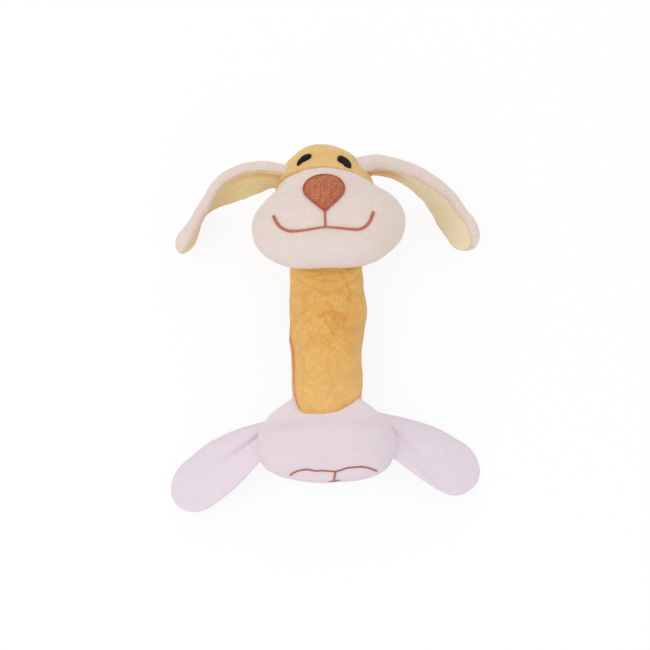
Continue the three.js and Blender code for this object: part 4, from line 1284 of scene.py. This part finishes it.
def leg_shape(leg, share, v, part, filling):
    """The leaf's points for a grid of shares and places across, with the painted shade in its crease and
    along its rim.
    """
    closing = np.maximum(tip_closing(share, LEG_TIP), 0.01)[:, None]
    at, v = share[:, None], v[None, :]
    half = (leg["root_half"] + (LEG_HALF - leg["root_half"]) * smooth(at, 0, 0.6)) * closing
    full = LEG_ROOT_FULL + (filling - LEG_ROOT_FULL) * smooth(at, 0, 0.5)
    full = full * np.maximum(tip_closing(share, LEG_THINNING), 0.02)[:, None] ** 0.8
    upper = leg["side"] * v
    more = leg["more_up"] * bump(at, 0.42, 0.27) * smooth(upper, 0, 0.9)
    more = more + leg["more_down"] * bump(at, 0.7, 0.25) * smooth(-upper, 0, 0.9)
    z = full * np.maximum(1 - v ** 2, 0) ** 0.375
    crease = np.zeros_like(z)
    if part > 0:
        line = np.interp(share, *leg["crease"])[:, None]
        wide, fading = leg["crease_width"] + 0.5 * at, smooth(at, leg["crease_end"], 0.0)
        folds = 0.9 * bump(upper, line + wide * 1.6, wide) - leg["crease_depth"] * bump(upper, line, wide)
        z = z + folds * fading * smooth(np.abs(v), 1.0, 0.75)
        # Painted shade in the crease
        crease = leg["crease_colour"] * bump(upper, line, wide * 0.5) * fading ** 2
    # Painted shade along the rim and along the upper edge, where the cloth turns down
    rim = 0.3 * bump(np.abs(v), 1.0, 0.02) + 0.4 * bump(upper, 0.93, 0.1) * smooth(at, 0.02, 0.2)
    x = (half + more * closing) * v
    p = leg_points(leg, np.repeat(share, v.shape[1]), x.ravel(), (part * z).ravel())
    return p, np.maximum(crease, rim).ravel()


def leg_fill(leg, share, v, filling):
    """How the stuffing moves the two cloths of a leaf, at a grid of shares and places across."""
    rows, columns = 56, 27
    at, across = np.linspace(0, 0.985, rows), np.cos(np.linspace(0, math.pi, columns))
    front, back = (leg_shape(leg, at, across, part, filling)[0].reshape(rows, columns, 3) for part in (1, -1))
    ring = np.concatenate([front, back[:, -2:0:-1]], axis=1)
    around = ring.shape[1]
    sewn = 0.2 * bump(np.abs(across), 1.0, 0.05)[None, :] + np.zeros((rows, 1))
    line = np.interp(at, *leg["crease"])[:, None]
    folded = leg["crease_colour"] * bump(leg["side"] * across, line, 0.12)
    folded = folded * smooth(at, leg["crease_end"], 0.2)[:, None]
    held = np.concatenate([np.maximum(sewn, folded), sewn[:, -2:0:-1]], axis=1)
    held = np.maximum(held, smooth(at, 0.24, 0.08)[:, None]).ravel()
    moved = filled_out(ring.reshape(-1, 3), closed_grid(rows, around), held, pressure=0.9, cap=2.0)
    up = leg_turn(leg) @ np.array([0, 0, 1.0])
    rising = np.outer(moved @ up, up)
    moved = calmed((rising + 0.3 * (moved - rising)).reshape(rows, around, 3), True)
    under = np.concatenate([moved[:, columns - 1:], moved[:, :1]], axis=1)[:, ::-1]
    return {
        part: carried(m[:, ::-1], at, across[::-1], share, v).reshape(-1, 3)
        for part, m in ((1, moved[:, :columns]), (-1, under))
    }


def make_leg(name, leg):
    rows, columns = 150, 56
    share, v = rows_to_tip(rows, 0.7, 0.76), np.cos(np.linspace(0, math.pi, columns))
    up = leg_turn(leg) @ np.array([0, 0, 1.0])
    # Half the thickness that the stuffing gives, of which the cloth simulation adds a part
    filling = FILLED_BEFORE_CLOTH
    filled = leg_fill(leg, share, v, filling)
    for part, sign in (("front", 1), ("back", -1)):
        p, crease = leg_shape(leg, share, v, sign, filling)
        p = p + filled[sign]
        relief = lumps(p, LEG_LUMPS) * smooth(np.repeat(share, columns), 0, 0.08) + lumps(p, PILE)
        relief = sign * relief * np.tile(np.sqrt(1 - v ** 2), rows)
        p = settle(foot_to_toy(p + up * relief[:, None]), 1.0)
        obj = mesh_object(f"leg_{name}_{part}_cloth", p, grid_faces(rows, columns, False), leg_lilac, crease)
        leaf_blend(obj)
        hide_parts(f"leg_{name}_{part}", *([f"leg_{name}_wadding"] if part == "front" else []))


# ---------------------------------------------------------------- squeaker

def dress_squeaker():
    for name, material in (
        ("squeaker_bulb", bulb_plastic), ("squeaker_holder", reed_plastic), ("squeaker_reed", reed_plastic),
    ):
        for material_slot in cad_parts[name].material_slots:
            material_slot.link = "OBJECT"
            material_slot.material = material


# ---------------------------------------------------------------- stage

LAMPS = (   # name, place, what it points at, size, power
    ("key", (-0.6, -0.3, 0.95), (0, 0, 0.02), 0.8, 3.0),
    ("fill", (0.6, -0.5, 0.8), (0, 0, 0.02), 0.8, 0.8),
    ("low", (0.1, -0.95, 0.3), (0, 0, 0.02), 0.6, 0.7),
    ("back", (0.1, 0.8, 0.7), (0, 0.05, 0.02), 0.8, 1.3),
)
CAMERA_PLACE, CAMERA_AIM, LENS, SENSOR = (-0.00096, -0.2696, 0.7718), (-0.00096, 0.004, 0.020), 78.4, 36
FLOOR_HALF = 4
WORLD_LEVEL, SEEN_LEVEL = 0.76, 1.0
FLOOR_GLOW = 0.85


def aimed(name, data, place, aim):
    obj = bpy.data.objects.new(name, data)
    obj.location = place
    obj.rotation_euler = (Vector(aim) - Vector(place)).to_track_quat("-Z", "Y").to_euler()
    bpy.context.scene.collection.objects.link(obj)
    return obj


def make_stage():
    scene = bpy.context.scene
    n = Nodes(bpy.data.materials.new("floor_white"))
    diffuse = n.add("BsdfDiffuse", Color=(0.97, 0.97, 0.97, 1))
    plain = n.add("Emission", Color=(1, 1, 1, 1), Strength=1.0)
    glow = n.times(n.add("LightPath").outputs["Is Camera Ray"], FLOOR_GLOW)
    mixed = n.indexed(n.add("MixShader"), (0, glow), (1, diffuse.outputs[0]), (2, plain.outputs[0]))
    half = FLOOR_HALF
    corners = [(-half, -half, 0), (half, -half, 0), (half, half, 0), (-half, half, 0)]
    floor = new_object("floor", corners, [(0, 1, 2, 3)], 1)
    floor.data.materials.append(n.finish(mixed))

    n = Nodes(bpy.data.worlds.new("studio"))
    level = n.ramp(n.add("LightPath").outputs["Is Camera Ray"], 0.0, 1.0, WORLD_LEVEL, SEEN_LEVEL)
    scene.world = n.finish(n.add("Background", Color=(1, 1, 1, 1), Strength=level), "OutputWorld")

    for name, place, aim, size, power in LAMPS:
        lamp = bpy.data.lights.new(name, "AREA")
        lamp.size = size
        lamp.energy = power
        aimed(name, lamp, place, aim)

    camera = bpy.data.cameras.new("camera")
    camera.lens, camera.sensor_width = LENS, SENSOR
    scene.camera = aimed("camera", camera, CAMERA_PLACE, CAMERA_AIM)
    scene.view_settings.view_transform = "Standard"


make_stage()
make_tube()
make_head()
make_nose()
make_mouth()
make_eyes()
for ear_name, ear in EARS.items():
    make_ear(ear_name, ear)
make_foot()
make_toes()
for leg_name, leg in LEGS.items():
    make_leg(leg_name, leg)
dress_squeaker()
